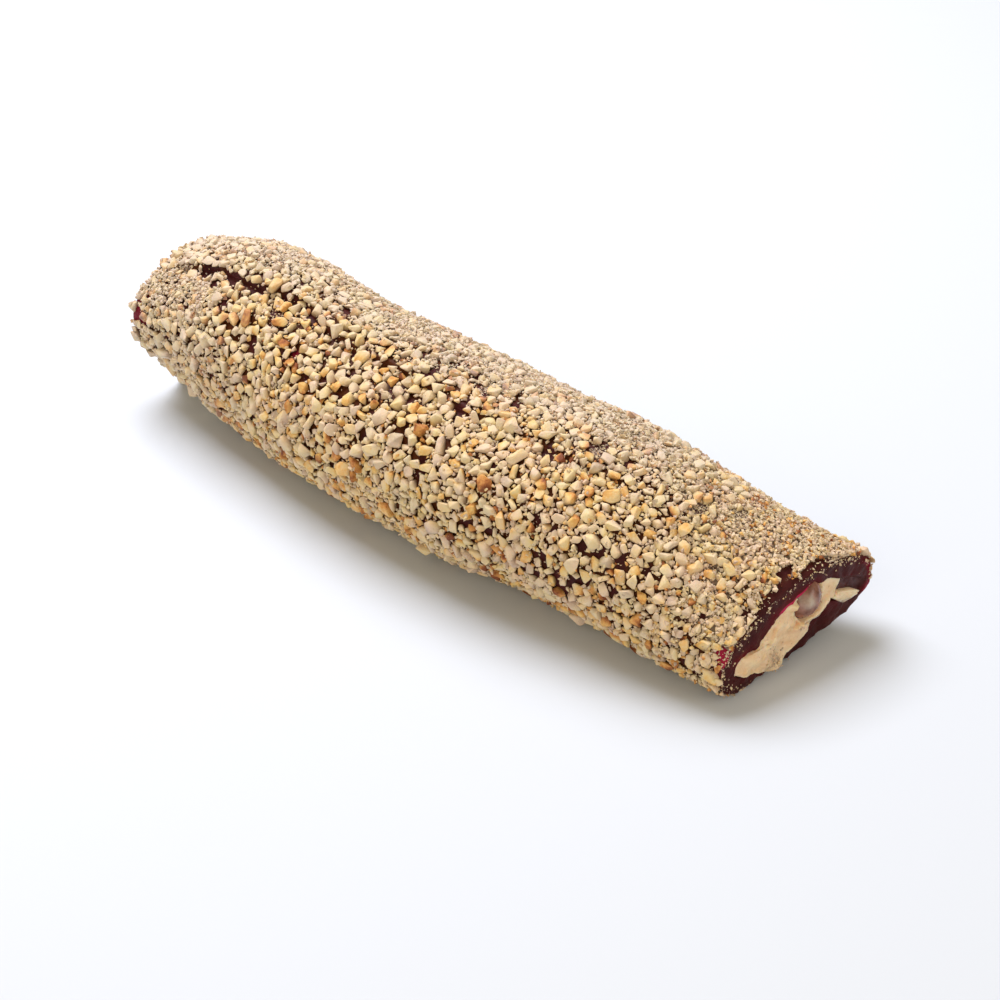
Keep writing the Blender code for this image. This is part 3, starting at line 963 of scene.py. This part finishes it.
# The pale patch is partly a smear of cream and partly a painted highlight.
film_and_highlight = calculated(tree, "MULTIPLY", streaks, stored(tree, "smear"))
tree.links.new(mixed(tree, film_and_highlight, skin, CREAM_FILM_AND_HIGHLIGHT), shader.inputs["Base Color"])
set_inputs(shader, {"Roughness": 0.22, SHINE: 0.7, **glow_within(0.2, (1.0, 0.5, 0.3), 0.0015)})
bumps(tree, shader, noise(tree, 500.0, 4.0, 0.6), 0.5, 0.0003)


def weld(piece):
    """Joins the points that lie on each other at the two ends of a kernel."""
    bm = bmesh.new()
    bm.from_mesh(piece.data)
    bmesh.ops.remove_doubles(bm, verts=bm.verts, dist=1e-6)
    bm.to_mesh(piece.data)
    bm.free()


def kernel_points(middle, half_length, half_thickness, tip):
    """Rings of a kernel, from its blunt end to its tip."""
    turns = np.linspace(0.0, 2.0 * math.pi, AROUND_KERNEL, endpoint=False)
    rows = []
    for height in np.cos(np.linspace(math.pi, 0.0, KERNEL_RINGS)):
        width = math.sqrt(max(0.0, 1.0 - height**2)) * (1.0 - 0.16 * max(0.0, height) ** 2)
        ridges = width * (1.0 + 0.015 * np.sin(9.0 * turns + 2.0 * height))
        level = np.full(AROUND_KERNEL, height)
        rows.append(np.stack([np.cos(turns) * ridges, np.sin(turns) * ridges, level], axis=-1))
    shape = np.array(rows) * (half_thickness, half_thickness, half_length)
    turned = np.array(Vector(tip).to_track_quat("Z", "Y").to_matrix())
    return shape @ turned.T + np.array(middle)


for node, (middle, half_length, half_thickness, tip) in KERNELS.items():
    rows = kernel_points(middle, half_length, half_thickness, tip)
    # Where the pale patch lies: partly cream, partly a painted highlight.
    away = np.linalg.norm((rows - middle)[..., 1:] - HIGHLIGHT_SMEAR_OFF, axis=-1)
    smear = 0.8 * smooth_step(3.0, 0.6, away)
    kernel = make_piece(
        node + "_kernel", rows.reshape(-1, 3), grid_faces(*rows.shape[:2]), kernel_look, {"smear": smear}
    )
    weld(kernel)
    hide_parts(node)

# %% [markdown]
# ## Shapes of chopped nut
#
# A knife or a grinder breaks a kernel into chunks with flat faces and blunt edges. No two are
# alike, but one or two dozen chunks of each size are enough if each copy is turned and scaled.
# A chunk is the skin round a few random points, with its edges bevelled. To make the bevels look
# round and the faces look flat, each point keeps the direction of the flat face that it belongs to,
# and the shading runs smoothly from one to the next. Smaller pieces, which are seen less closely,
# have no bevels.

# %% Chunk maker


def spread_points(draw, count):
    """Points on a ball that keep away from each other, so that a chunk isn't a splinter."""
    chosen = []
    for _ in range(count):
        tries = [Vector([draw.gauss(0, 1) for _ in range(3)]).normalized() for _ in range(5)]
        room = [min(((way - other).length for other in chosen), default=0.0) for way in tries]
        chosen.append(tries[room.index(max(room))])
    return chosen


ROUNDNESS = 0.45  # 0 shades the faces of a chunk flat, higher values shade it more like a pebble
FLAT_WITHIN = math.radians(16.0)  # faces that lean on each other by less than this become one


def chunk(draw, corners, blunt):
    """Points, triangles and shading directions of one chunk that fits a box of 1 x 1 x 1."""
    bm = bmesh.new()
    for way in spread_points(draw, corners):
        bm.verts.new(way * draw.uniform(0.70, 1.0))
    hull = bmesh.ops.convex_hull(bm, input=list(bm.verts))
    inside = {v for v in hull["geom_interior"] if isinstance(v, bmesh.types.BMVert)}
    bmesh.ops.delete(bm, geom=list(inside), context="VERTS")
    if blunt:
        bmesh.ops.dissolve_limit(bm, angle_limit=FLAT_WITHIN, verts=bm.verts, edges=bm.edges)
        edges = list(bm.edges)
        bmesh.ops.bevel(bm, geom=edges, offset=blunt, segments=1, affect="EDGES", clamp_overlap=True)
    bm.normal_update()
    leans = [max(v.link_faces, key=lambda face: face.calc_area()).normal[:] for v in bm.verts]
    bmesh.ops.triangulate(bm, faces=bm.faces)
    bmesh.ops.recalc_face_normals(bm, faces=bm.faces)
    bm.verts.index_update()
    points = np.array([v.co[:] for v in bm.verts])
    faces = np.array([[v.index for v in f.verts] for f in bm.faces])
    if bm.calc_volume(signed=True) < 0.0:
        faces = faces[:, ::-1]
    bm.free()
    low, high = points.min(axis=0), points.max(axis=0)
    points = points - (low + high) / 2
    leans = np.array(leans) if blunt else points.copy()
    leans *= np.where((leans * points).sum(axis=1, keepdims=True) < 0.0, -1.0, 1.0)
    leans = leans + ROUNDNESS * points / np.linalg.norm(points, axis=1, keepdims=True)
    return points / (high - low), faces, leans * (high - low)


LUMP_SPREAD = 0.42  # how far the chunks of a lump lie from its middle


def lump(draw):
    """Four small chunks stuck together, as ground nut clings to itself."""
    parts, base = [], 0
    for way in spread_points(draw, 4):
        points, faces, leans = chunk(draw, 7, 0.0)
        moved = points * draw.uniform(0.85, 1.2) + np.array(way[:]) * LUMP_SPREAD
        parts.append((moved, faces + base, leans))
        base += len(points)
    points, faces, leans = (np.concatenate(v) for v in zip(*parts))
    low, high = points.min(axis=0), points.max(axis=0)
    return (points - (low + high) / 2) / (high - low), faces, leans


shape_draw = random.Random(21)
CHUNKS = {
    "coarse": [chunk(shape_draw, shape_draw.choice((7, 8, 9)), 0.10) for _ in range(28)],
    "medium": [chunk(shape_draw, 7, 0.11) for _ in range(20)],
    "lump": [lump(shape_draw) for _ in range(14)],
    "small": [chunk(shape_draw, 8, 0.0) for _ in range(16)],
    "crumb": [chunk(shape_draw, 7, 0.0) for _ in range(10)],
    "grain": [chunk(shape_draw, 5, 0.0) for _ in range(6)],
}
for label, kinds in CHUNKS.items():
    print(label, "chunks have about", round(sum(len(kind[1]) for kind in kinds) / len(kinds)), "triangles")

# %% [markdown]
# ## Where the nuts lie
#
# The largest pieces are laid first, each at a random place, and a piece that would lie on another
# is thrown away. Smaller and smaller sizes then fill what room is left, as they do on a tray.
#
# A tree of points, which Blender's own maths module has, quickly finds the larger pieces round a
# place. Pieces of the same kind are kept apart with a coarse grid of cells: each one looks only at
# its own cell and the cells that touch it.

# %% Laying routine
throw = np.random.default_rng(5)
UNDERSIDE = (-70.0, 200.0)  # degrees: below the first and above the second, the coat is sparser
COARSE_LIMIT = 6.4  # mm, the largest piece where the coat is coarsest
NEIGHBOURS = [(x, y, z) for x in (-1, 0, 1) for y in (-1, 0, 1) for z in (-1, 0, 1)]


class Coat:
    """All the pieces that lie on the roll so far."""

    def __init__(self):
        self.points, self.radii = np.zeros((0, 3)), np.zeros(0)

    def lay(self, tries, low, high, lean, closeness):
        """Throws pieces of low to high mm, and returns (along, angle, size) of those that fit.

        A higher lean gives more of the small ones, and closeness below 1 lets them touch and overlap.
        """
        along = throw.uniform(LEFT_END + 0.4, RIGHT_END - 0.3, tries)
        angle = throw.uniform(-90.0, 270.0, tries)
        size = low + (high - low) * throw.random(tries) ** lean
        luck = throw.random(tries)
        # The near end's low corner has fine pieces only.
        low_corner = smooth_step(106.0, 114.0, along) * smooth_step(186.0, 196.0, angle)
        limit = COARSE_LIMIT - 4.4 * fineness(along, angle) - 3.6 * low_corner
        good = (room_for_nuts(along, angle) > 0.95 * luck + 0.04) & (size < limit + 0.8 * (luck - 0.5))
        under = (angle < UNDERSIDE[0]) | (angle > UNDERSIDE[1])
        good &= ~(under & (luck > 0.6))
        # Where the coat is open, fewer small pieces fall between the large ones.
        if high < 2.8:
            good &= throw.random(tries) > openness(along, angle) * (1.1 if high < 2.0 else 0.55)
        # Crumbs of the finest size gather where the coat is fine.
        if high < 1.5:
            good &= throw.random(tries) < 0.25 + 0.75 * fineness(along, angle)
        order = np.flatnonzero(good)
        order = order[np.argsort(-size[order], kind="stable")]
        along, angle, size = along[order], angle[order], size[order]
        spot = on_roll(along, angle)
        clear = self.clear_of_coat(spot, size / 2, closeness)
        along, angle, size, spot = along[clear], angle[clear], size[clear], spot[clear]
        chosen = self.clear_of_each_other(spot, size / 2, closeness)
        self.points = np.concatenate([self.points, spot[chosen]])
        self.radii = np.concatenate([self.radii, size[chosen] / 2])
        return np.stack([along, angle, size], axis=-1)[chosen]

    def clear_of_coat(self, spot, radius, closeness):
        """Which places have room between the pieces that lie there already."""
        found = np.ones(len(spot), bool)
        if not len(self.points):
            return found
        finder = kdtree.KDTree(len(self.points))
        for k, point in enumerate(self.points):
            finder.insert(point, k)
        finder.balance()
        reach = self.radii.max()
        radii = self.radii.tolist()
        for k, (point, own) in enumerate(zip(spot.tolist(), radius.tolist())):
            near = finder.find_range(point, closeness * (own + reach))
            found[k] = all(away >= closeness * (own + radii[other]) for _, other, away in near)
        return found

    @staticmethod
    def clear_of_each_other(spot, radius, closeness):
        """Goes from the largest piece down, and keeps those that don't overlap a kept one."""
        cell = 2.0 * closeness * radius.max()
        keys = np.floor(spot / cell).astype(int).tolist()
        spots, radii = spot.tolist(), radius.tolist()
        cells, chosen = {}, []
        for k, (x, y, z) in enumerate(keys):
            near = (o for dx, dy, dz in NEIGHBOURS for o in cells.get((x + dx, y + dy, z + dz), ()))
            if all(math.dist(spots[k], spots[o]) >= closeness * (radii[k] + radii[o]) for o in near):
                cells.setdefault((x, y, z), []).append(k)
                chosen.append(k)
        return np.array(chosen, int)


# %% Lay the sizes, largest first
coat = Coat()
large = coat.lay(900, 3.8, 5.6, 1.8, 0.90)
coarse = coat.lay(22000, 2.5, 3.8, 1.3, 0.80)
medium = coat.lay(44000, 1.6, 2.5, 1.0, 0.76)
small = coat.lay(60000, 1.0, 1.6, 1.0, 0.66)
crumbs = coat.lay(60000, 0.65, 1.0, 1.0, 0.60)
print("pieces laid:", *(len(kind) for kind in (large, coarse, medium, small, crumbs)))

# %% [markdown]
# ## The look of the nuts
#
# Fresh-cut hazelnut is a pale cream colour. Some pieces are yellower, roasted ones are golden to
# tan, a few carry red-brown skin, and small ones look greyer because dust clings to them. Each
# piece stores one number, its tone, and a colour ramp turns tones into these colours. Two more
# numbers say how much darker a piece's foot is, partly tinted by the jelly and partly painted shade,
# and how much nut flour lies on it. Slow noise lets the hue drift a little from place to place, so the
# coat doesn't look dyed.

# %% Nut material
TONES = (
    (0.00, (0.54, 0.42, 0.31)),
    (0.15, (0.67, 0.53, 0.385)),
    (0.36, (0.76, 0.61, 0.41)),
    (0.56, (0.78, 0.60, 0.32)),
    (0.70, (0.78, 0.49, 0.17)),
    (0.82, (0.63, 0.305, 0.088)),
    (0.92, (0.405, 0.152, 0.047)),
    (1.00, (0.203, 0.061, 0.023)),
)
# Patches of the coat lean to a greenish yellow, and others to rose, where the jelly has coloured them.
GREENISH, ROSY = (0.975, 1.0, 0.935), (1.0, 0.960, 0.985)
MOTTLING = 0.56  # how much the tone varies within a piece
POWDER = (0.64, 0.575, 0.50)  # nut flour, which pales the crest and the left end
FOOT_TINT_AND_SHADE = (0.150, 0.042, 0.007)  # where a piece sits in the jelly it is darker: partly tinted by the jelly, partly painted shade

nut_look, tree, shader = new_look("chopped hazelnut")
tone = stored(tree, "tone")
mottle = noise(tree, 520.0, 4.0, 0.65)
shift = calculated(tree, "MULTIPLY_ADD", mottle, MOTTLING, -0.5 * MOTTLING)
toned = calculated(tree, "ADD", tone, shift)
flesh = ramp(tree, toned, TONES)
# Painted shade and the jelly's tint: each piece is darker towards its foot.
stain = calculated(tree, "MULTIPLY", stored(tree, "foot"), 0.9)
drift = ramp(tree, noise(tree, 150.0, 2.0, 0.5), [(0.38, GREENISH), (0.62, ROSY)])
tinted = mixed(tree, 1.0, flesh, drift, "MULTIPLY")
floured = mixed(tree, stored(tree, "powder"), tinted, POWDER)
tree.links.new(mixed(tree, stain, floured, FOOT_TINT_AND_SHADE), shader.inputs["Base Color"])
set_inputs(shader, {"Roughness": 0.55, SHINE: 0.18, **glow_within(0.12, (1.0, 0.6, 0.3), 0.0007)})
bumps(tree, shader, noise(tree, 950.0, 4.0, 0.6), 0.55, 0.0006)
print("colours from pale to skin:", len(TONES))

# %% [markdown]
# ## Turning places into nuts
#
# Each laid place becomes a chunk: flattened a little, turned round by a random angle, tipped, and
# pressed into the jelly by part of its height. A piece that would reach below the table is lifted
# into the sheet, because the roll's own weight has pressed it in.

# %% Placing routine
LOWEST = 0.03  # mm above the table, for the lowest point of any piece
FOOT_TOP = 0.12  # the jelly's tint and the painted shade end this far above a piece's middle, as a share of its thickness
SHADING = 0.22  # how much the tone changes from one side of a piece to the other


def turned_frames(draw, outward, forward, tip):
    """For each piece, three axes: two along the face, turned at random, and one outwards, tipped."""
    sideways = np.cross(outward, forward)
    turn = draw.uniform(0.0, 2.0 * math.pi, len(outward))[:, None]
    first = forward * np.cos(turn) + sideways * np.sin(turn)
    second = sideways * np.cos(turn) - forward * np.sin(turn)
    lean_a, lean_b = draw.normal(0.0, tip, (2, len(outward), 1))
    up = outward + first * lean_a + second * lean_b
    up /= np.linalg.norm(up, axis=-1, keepdims=True)
    second = np.cross(up, first)
    second /= np.linalg.norm(second, axis=-1, keepdims=True)
    return np.stack([np.cross(second, up), second, up], axis=-1)


def nuts_at(
    name, spot, outward, forward, size, chunks, tones, sunk,
    seed, tip=0.18, raised=0.0, tint_and_shade=1.0, powder=0.0, crisp=False,
):
    """One object that holds a chunk at every spot, pressed in against its outward direction."""
    draw = np.random.default_rng(seed)
    frames = turned_frames(draw, outward, forward, tip)
    count = len(spot)
    long = size * draw.uniform(1.0, 1.25, count)
    wide = size * draw.uniform(0.75, 1.0, count)
    thick = size * draw.uniform(0.55, 0.85, count)
    centre = spot + outward * (thick * (0.5 - sunk) + raised)[:, None]
    kind = draw.integers(0, len(chunks), count)
    tint_and_shade, powder = np.broadcast_to(tint_and_shade, count), np.broadcast_to(powder, count)
    parts, base = [], 0
    for k, (points, faces, leans) in enumerate(chunks):
        mine = kind == k
        number = int(mine.sum())
        if not number:
            continue
        stretch = np.stack([long, wide, thick], axis=-1)[mine][:, None]
        world = np.einsum("nij,nvj->nvi", frames[mine], points[None] * stretch) + centre[mine][:, None]
        lowest = world[..., 2].min(axis=1)
        world[..., 2] += np.maximum(LOWEST - lowest, 0.0)[:, None]
        tilted = np.einsum("nij,nvj->nvi", frames[mine], leans[None] / stretch)
        tilted /= np.linalg.norm(tilted, axis=-1, keepdims=True)
        numbered = faces[None] + base + np.arange(number)[:, None, None] * len(points)
        toned = tones[mine][:, None] + draw.normal(0.0, SHADING, (number, 3)) @ points.T
        # The foot of each piece is darkened, partly as the jelly's tint and partly as painted shade.
        foot = np.outer(tint_and_shade[mine], smooth_step(FOOT_TOP, -0.5, points[:, 2]))
        corners = (world.reshape(-1, 3), numbered.reshape(-1, 3), tilted.reshape(-1, 3))
        parts.append((*corners, toned.ravel(), foot.ravel(), np.repeat(powder[mine], len(points))))
        base += number * len(points)
    points, faces, leans, *numbers = (np.concatenate(v) for v in zip(*parts))
    values = dict(zip(("tone", "foot", "powder"), numbers))
    piece = make_piece(name, points, faces, nut_look, values, smooth=not crisp)
    if not crisp:
        piece.data.normals_split_custom_set_from_vertices(leans)
    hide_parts("jelly_wrap")


def powder_at(along, angle):
    """How much nut flour clings to the nuts: most on the crest and at the left end."""
    crest = 0.42 * plateau(angle, -30.0, 10.0, 82.0, 112.0) * smooth_step(105.0, 65.0, along)
    left = 0.30 * smooth_step(-55.0, -105.0, along)
    return np.maximum(crest, left) + 0.3 * np.minimum(crest, left)


def nuts_from(name, places, *rest, tint_and_shade=1.0, **more):
    """Nuts at (along, angle, size) places on the roll. Where the coat is fine, dust hides the jelly's tint
    and painted shade at their feet.
    """
    along, angle, size = places.T
    spot, outward, forward = face_axes(along, angle)
    spot[:, 0] -= drawn_back(along, angle)
    tint_and_shade = tint_and_shade * (1.0 - 0.75 * fineness(along, angle))
    powder = powder_at(along, angle)
    nuts_at(name, spot, outward, forward, size, *rest, tint_and_shade=tint_and_shade, powder=powder, **more)


# %% Large and coarse pieces, sorted by colour
kind_draw = np.random.default_rng(8)
chopped = np.concatenate([large, coarse])
luck = kind_draw.random(len(chopped)) + 0.14 * smooth_step(170.0, 215.0, chopped[:, 1])
PALE_BELOW, YELLOW_BELOW = 0.66, 0.90
# Name, which pieces, least and greatest tone, seed.
for name, mine, low, high, seed in (
    ("chopped_pale", luck < PALE_BELOW, 0.22, 0.52, 31),
    ("chopped_yellow", (luck >= PALE_BELOW) & (luck < YELLOW_BELOW), 0.50, 0.70, 32),
    ("chopped_roasted", luck >= YELLOW_BELOW, 0.70, 0.90, 33),
):
    tones = kind_draw.uniform(low, high, mine.sum())
    nuts_from(name, chopped[mine], CHUNKS["coarse"], tones, 0.22, seed=seed)

# %% Medium and small pieces, and crumbs
BROWNED_SHARE = 0.07


def drawn_tones(draw, places, usual, spread, dusty):
    """Tones for small pieces: greyer where the coat is fine, now and then roasted."""
    tones = draw.normal(usual, spread, len(places)) - dusty * fineness(places[:, 0], places[:, 1])
    browned = draw.random(len(places)) < BROWNED_SHARE
    return np.clip(np.where(browned, draw.uniform(0.7, 0.95, len(places)), tones), 0.0, 0.95)


clinging = kind_draw.random(len(medium)) < smooth_step(0.2, 0.8, fineness(medium[:, 0], medium[:, 1]))
lumps, medium = medium[clinging], medium[~clinging]
small_ways = {"tip": 0.3, "raised": 0.25, "crisp": True}
lump_ways = {"tip": 0.3, "raised": 0.2, "tint_and_shade": 0.8, "crisp": True}
# Name, places, chunks, usual tone, spread, dustiness, how deep, how they lie, seed.
for name, places, kind, usual, spread, dusty, sunk, ways, seed in (
    ("clinging_lumps", lumps, "lump", 0.33, 0.14, 0.05, 0.18, lump_ways, 39),
    ("chopped_medium", medium, "medium", 0.40, 0.15, 0.07, 0.18, {"raised": 0.15}, 34),
    ("chopped_small", small, "small", 0.36, 0.16, 0.09, 0.10, small_ways, 35),
    ("crumbs", crumbs, "crumb", 0.29, 0.16, 0.10, 0.0, small_ways, 36),
):
    tones = drawn_tones(kind_draw, places, usual, spread, dusty)
    nuts_from(name, places, CHUNKS[kind], tones, sunk, seed=seed, **ways)

# %% [markdown]
# ## Crumbs on top
#
# The crest was sprinkled last, so fine crumbs also lie on top of the larger pieces there, and nut
# dust sits in every gap. Both use the same routine, with the finest chunks.

# %% Sprinkled crumbs and dust
SPRINKLED = 5200
on_top = np.concatenate([chopped, medium, lumps])
weight = 0.08 + fineness(on_top[:, 0], on_top[:, 1]) ** 2
pick = throw.choice(len(on_top), SPRINKLED, p=weight / weight.sum())
host = on_top[pick]
sprinkled = np.stack(
    [
        np.clip(host[:, 0] + throw.normal(0.0, 0.9, SPRINKLED), LEFT_END + 0.5, RIGHT_END - 0.5),
        host[:, 1] + throw.normal(0.0, 1.8, SPRINKLED),
        throw.uniform(0.6, 1.6, SPRINKLED),
    ],
    axis=-1,
)
heights = 0.40 * host[:, 2]
sprinkled_tones = drawn_tones(throw, sprinkled, 0.28, 0.14, 0.07)
nuts_from(
    "sprinkled_crumbs", sprinkled, CHUNKS["crumb"], sprinkled_tones, 0.2,
    seed=37, tip=0.4, raised=heights, tint_and_shade=0.3, crisp=True,
)

GRAINS = 24000
grain_along = throw.uniform(LEFT_END + 0.3, RIGHT_END - 0.2, GRAINS)
grain_angle = throw.uniform(-90.0, 270.0, GRAINS)
share = 0.22 + 0.78 * room_for_nuts(grain_along, grain_angle) * fineness(grain_along, grain_angle)
kept = np.maximum(share, dust_at(grain_along, grain_angle)) > throw.random(GRAINS)
grains = [np.stack([grain_along, grain_angle, throw.uniform(0.3, 0.7, GRAINS)], axis=-1)[kept]]
for at, round_, size, strength in DUSTY_SPOTS:
    number = int(12 * strength * size**2)
    reach = radius_at(np.array(at))
    spread = throw.normal(0.0, 0.5 * size, (2, number))
    place = np.clip(at + spread[0], LEFT_END + 0.5, RIGHT_END - 0.5)
    around = round_ + np.degrees(spread[1] / reach)
    grains.append(np.stack([place, around, throw.uniform(0.3, 0.8, number)], axis=-1))
grains = np.concatenate(grains)
grain_tones = drawn_tones(throw, grains, 0.22, 0.14, 0.07)
lift = throw.uniform(0.0, 1.2, len(grains)) * room_for_nuts(grains[:, 0], grains[:, 1])
nuts_from(
    "nut_dust", grains, CHUNKS["grain"], grain_tones, 0.1,
    seed=38, raised=lift, tint_and_shade=0.5, crisp=True,
)

# %% [markdown]
# ### Crumbs on the cuts
#
# The knife drags a few crumbs over the cut faces. They lie thickest near the top edge, where they
# fell over it, and in one patch low on the cream. Their spots are picked from the points of the cut
# meshes themselves, so they sit exactly on the surface.

# %% Crumbs that the knife dragged along
# At the right cut: degrees round, how thickly crumbs lie near the sheet's outer edge.
SPILL = (
    (-90, 0.0), (-20, 0.0), (0, 0.5), (50, 0.6), (66, 0.2), (110, 0.25), (122, 1.0), (146, 1.0),
    (156, 0.3), (270, 0.0),
)
crumb_draw = np.random.default_rng(17)


def picked(points, weight, count, outward, jitter):
    """Spots picked by weight from a cut's points, with the directions that nuts_at needs."""
    flat_points = points.reshape(-1, 3)
    share = weight.ravel() / weight.sum()
    spot = flat_points[crumb_draw.choice(len(flat_points), count, p=share)]
    spot = spot + crumb_draw.normal(0.0, jitter, spot.shape) * (0.0, 1.0, 1.0)
    return spot, np.tile(np.array(outward, float), (count, 1)), np.tile((0.0, 0.0, 1.0), (count, 1))


cut_side = 1.0 * right_cut
edge_spill = cut_side * line_through(SPILL, turned) * np.exp(-jelly_depth / 0.8)
strewn = cut_side * 0.004 * (turned > 50.0) * (turned < 180.0)
y, z = right_disc[..., 1], right_disc[..., 2]
on_cream = right_relief(y, z) > -1.0
low_patch = on_cream * np.exp(-(((y + 3.5) / 3.0) ** 2) - ((z - 5.5) / 2.6) ** 2)
far_cut = 1.0 * (jelly_along <= LEFT_END)
RIGHTWARDS, LEFTWARDS = (0.993, -0.119, 0.0), (-1.0, 0.0, 0.0)
groups = [
    picked(jelly_points, edge_spill + strewn, 420, RIGHTWARDS, 0.3),
    picked(right_disc, low_patch, 110, RIGHTWARDS, 0.4),
    picked(right_disc, on_cream * np.exp(-(((y + 3.0) / 12.0) ** 2)), 26, RIGHTWARDS, 0.4),
    picked(jelly_points, far_cut * np.exp(-jelly_depth / 2.0), 160, LEFTWARDS, 0.3),
    picked(left_disc, np.ones(left_disc.shape[:2]), 60, LEFTWARDS, 0.4),
]
spot, outward, forward = (np.concatenate([group[k] for group in groups]) for k in range(3))
size = 0.22 + 0.75 * crumb_draw.random(len(spot)) ** 3.5
tones = np.clip(crumb_draw.normal(0.26, 0.14, len(spot)), 0.0, 0.9)
nuts_at(
    "cut_crumbs", spot, outward, forward, size, CHUNKS["crumb"], tones, 0.2,
    seed=40, tip=0.4, tint_and_shade=0.5, crisp=True,
)

# %% [markdown]
# ## Finish
#
# The last cell updates the scene's view layer.

# %% Update the scene
bpy.context.view_layer.update()
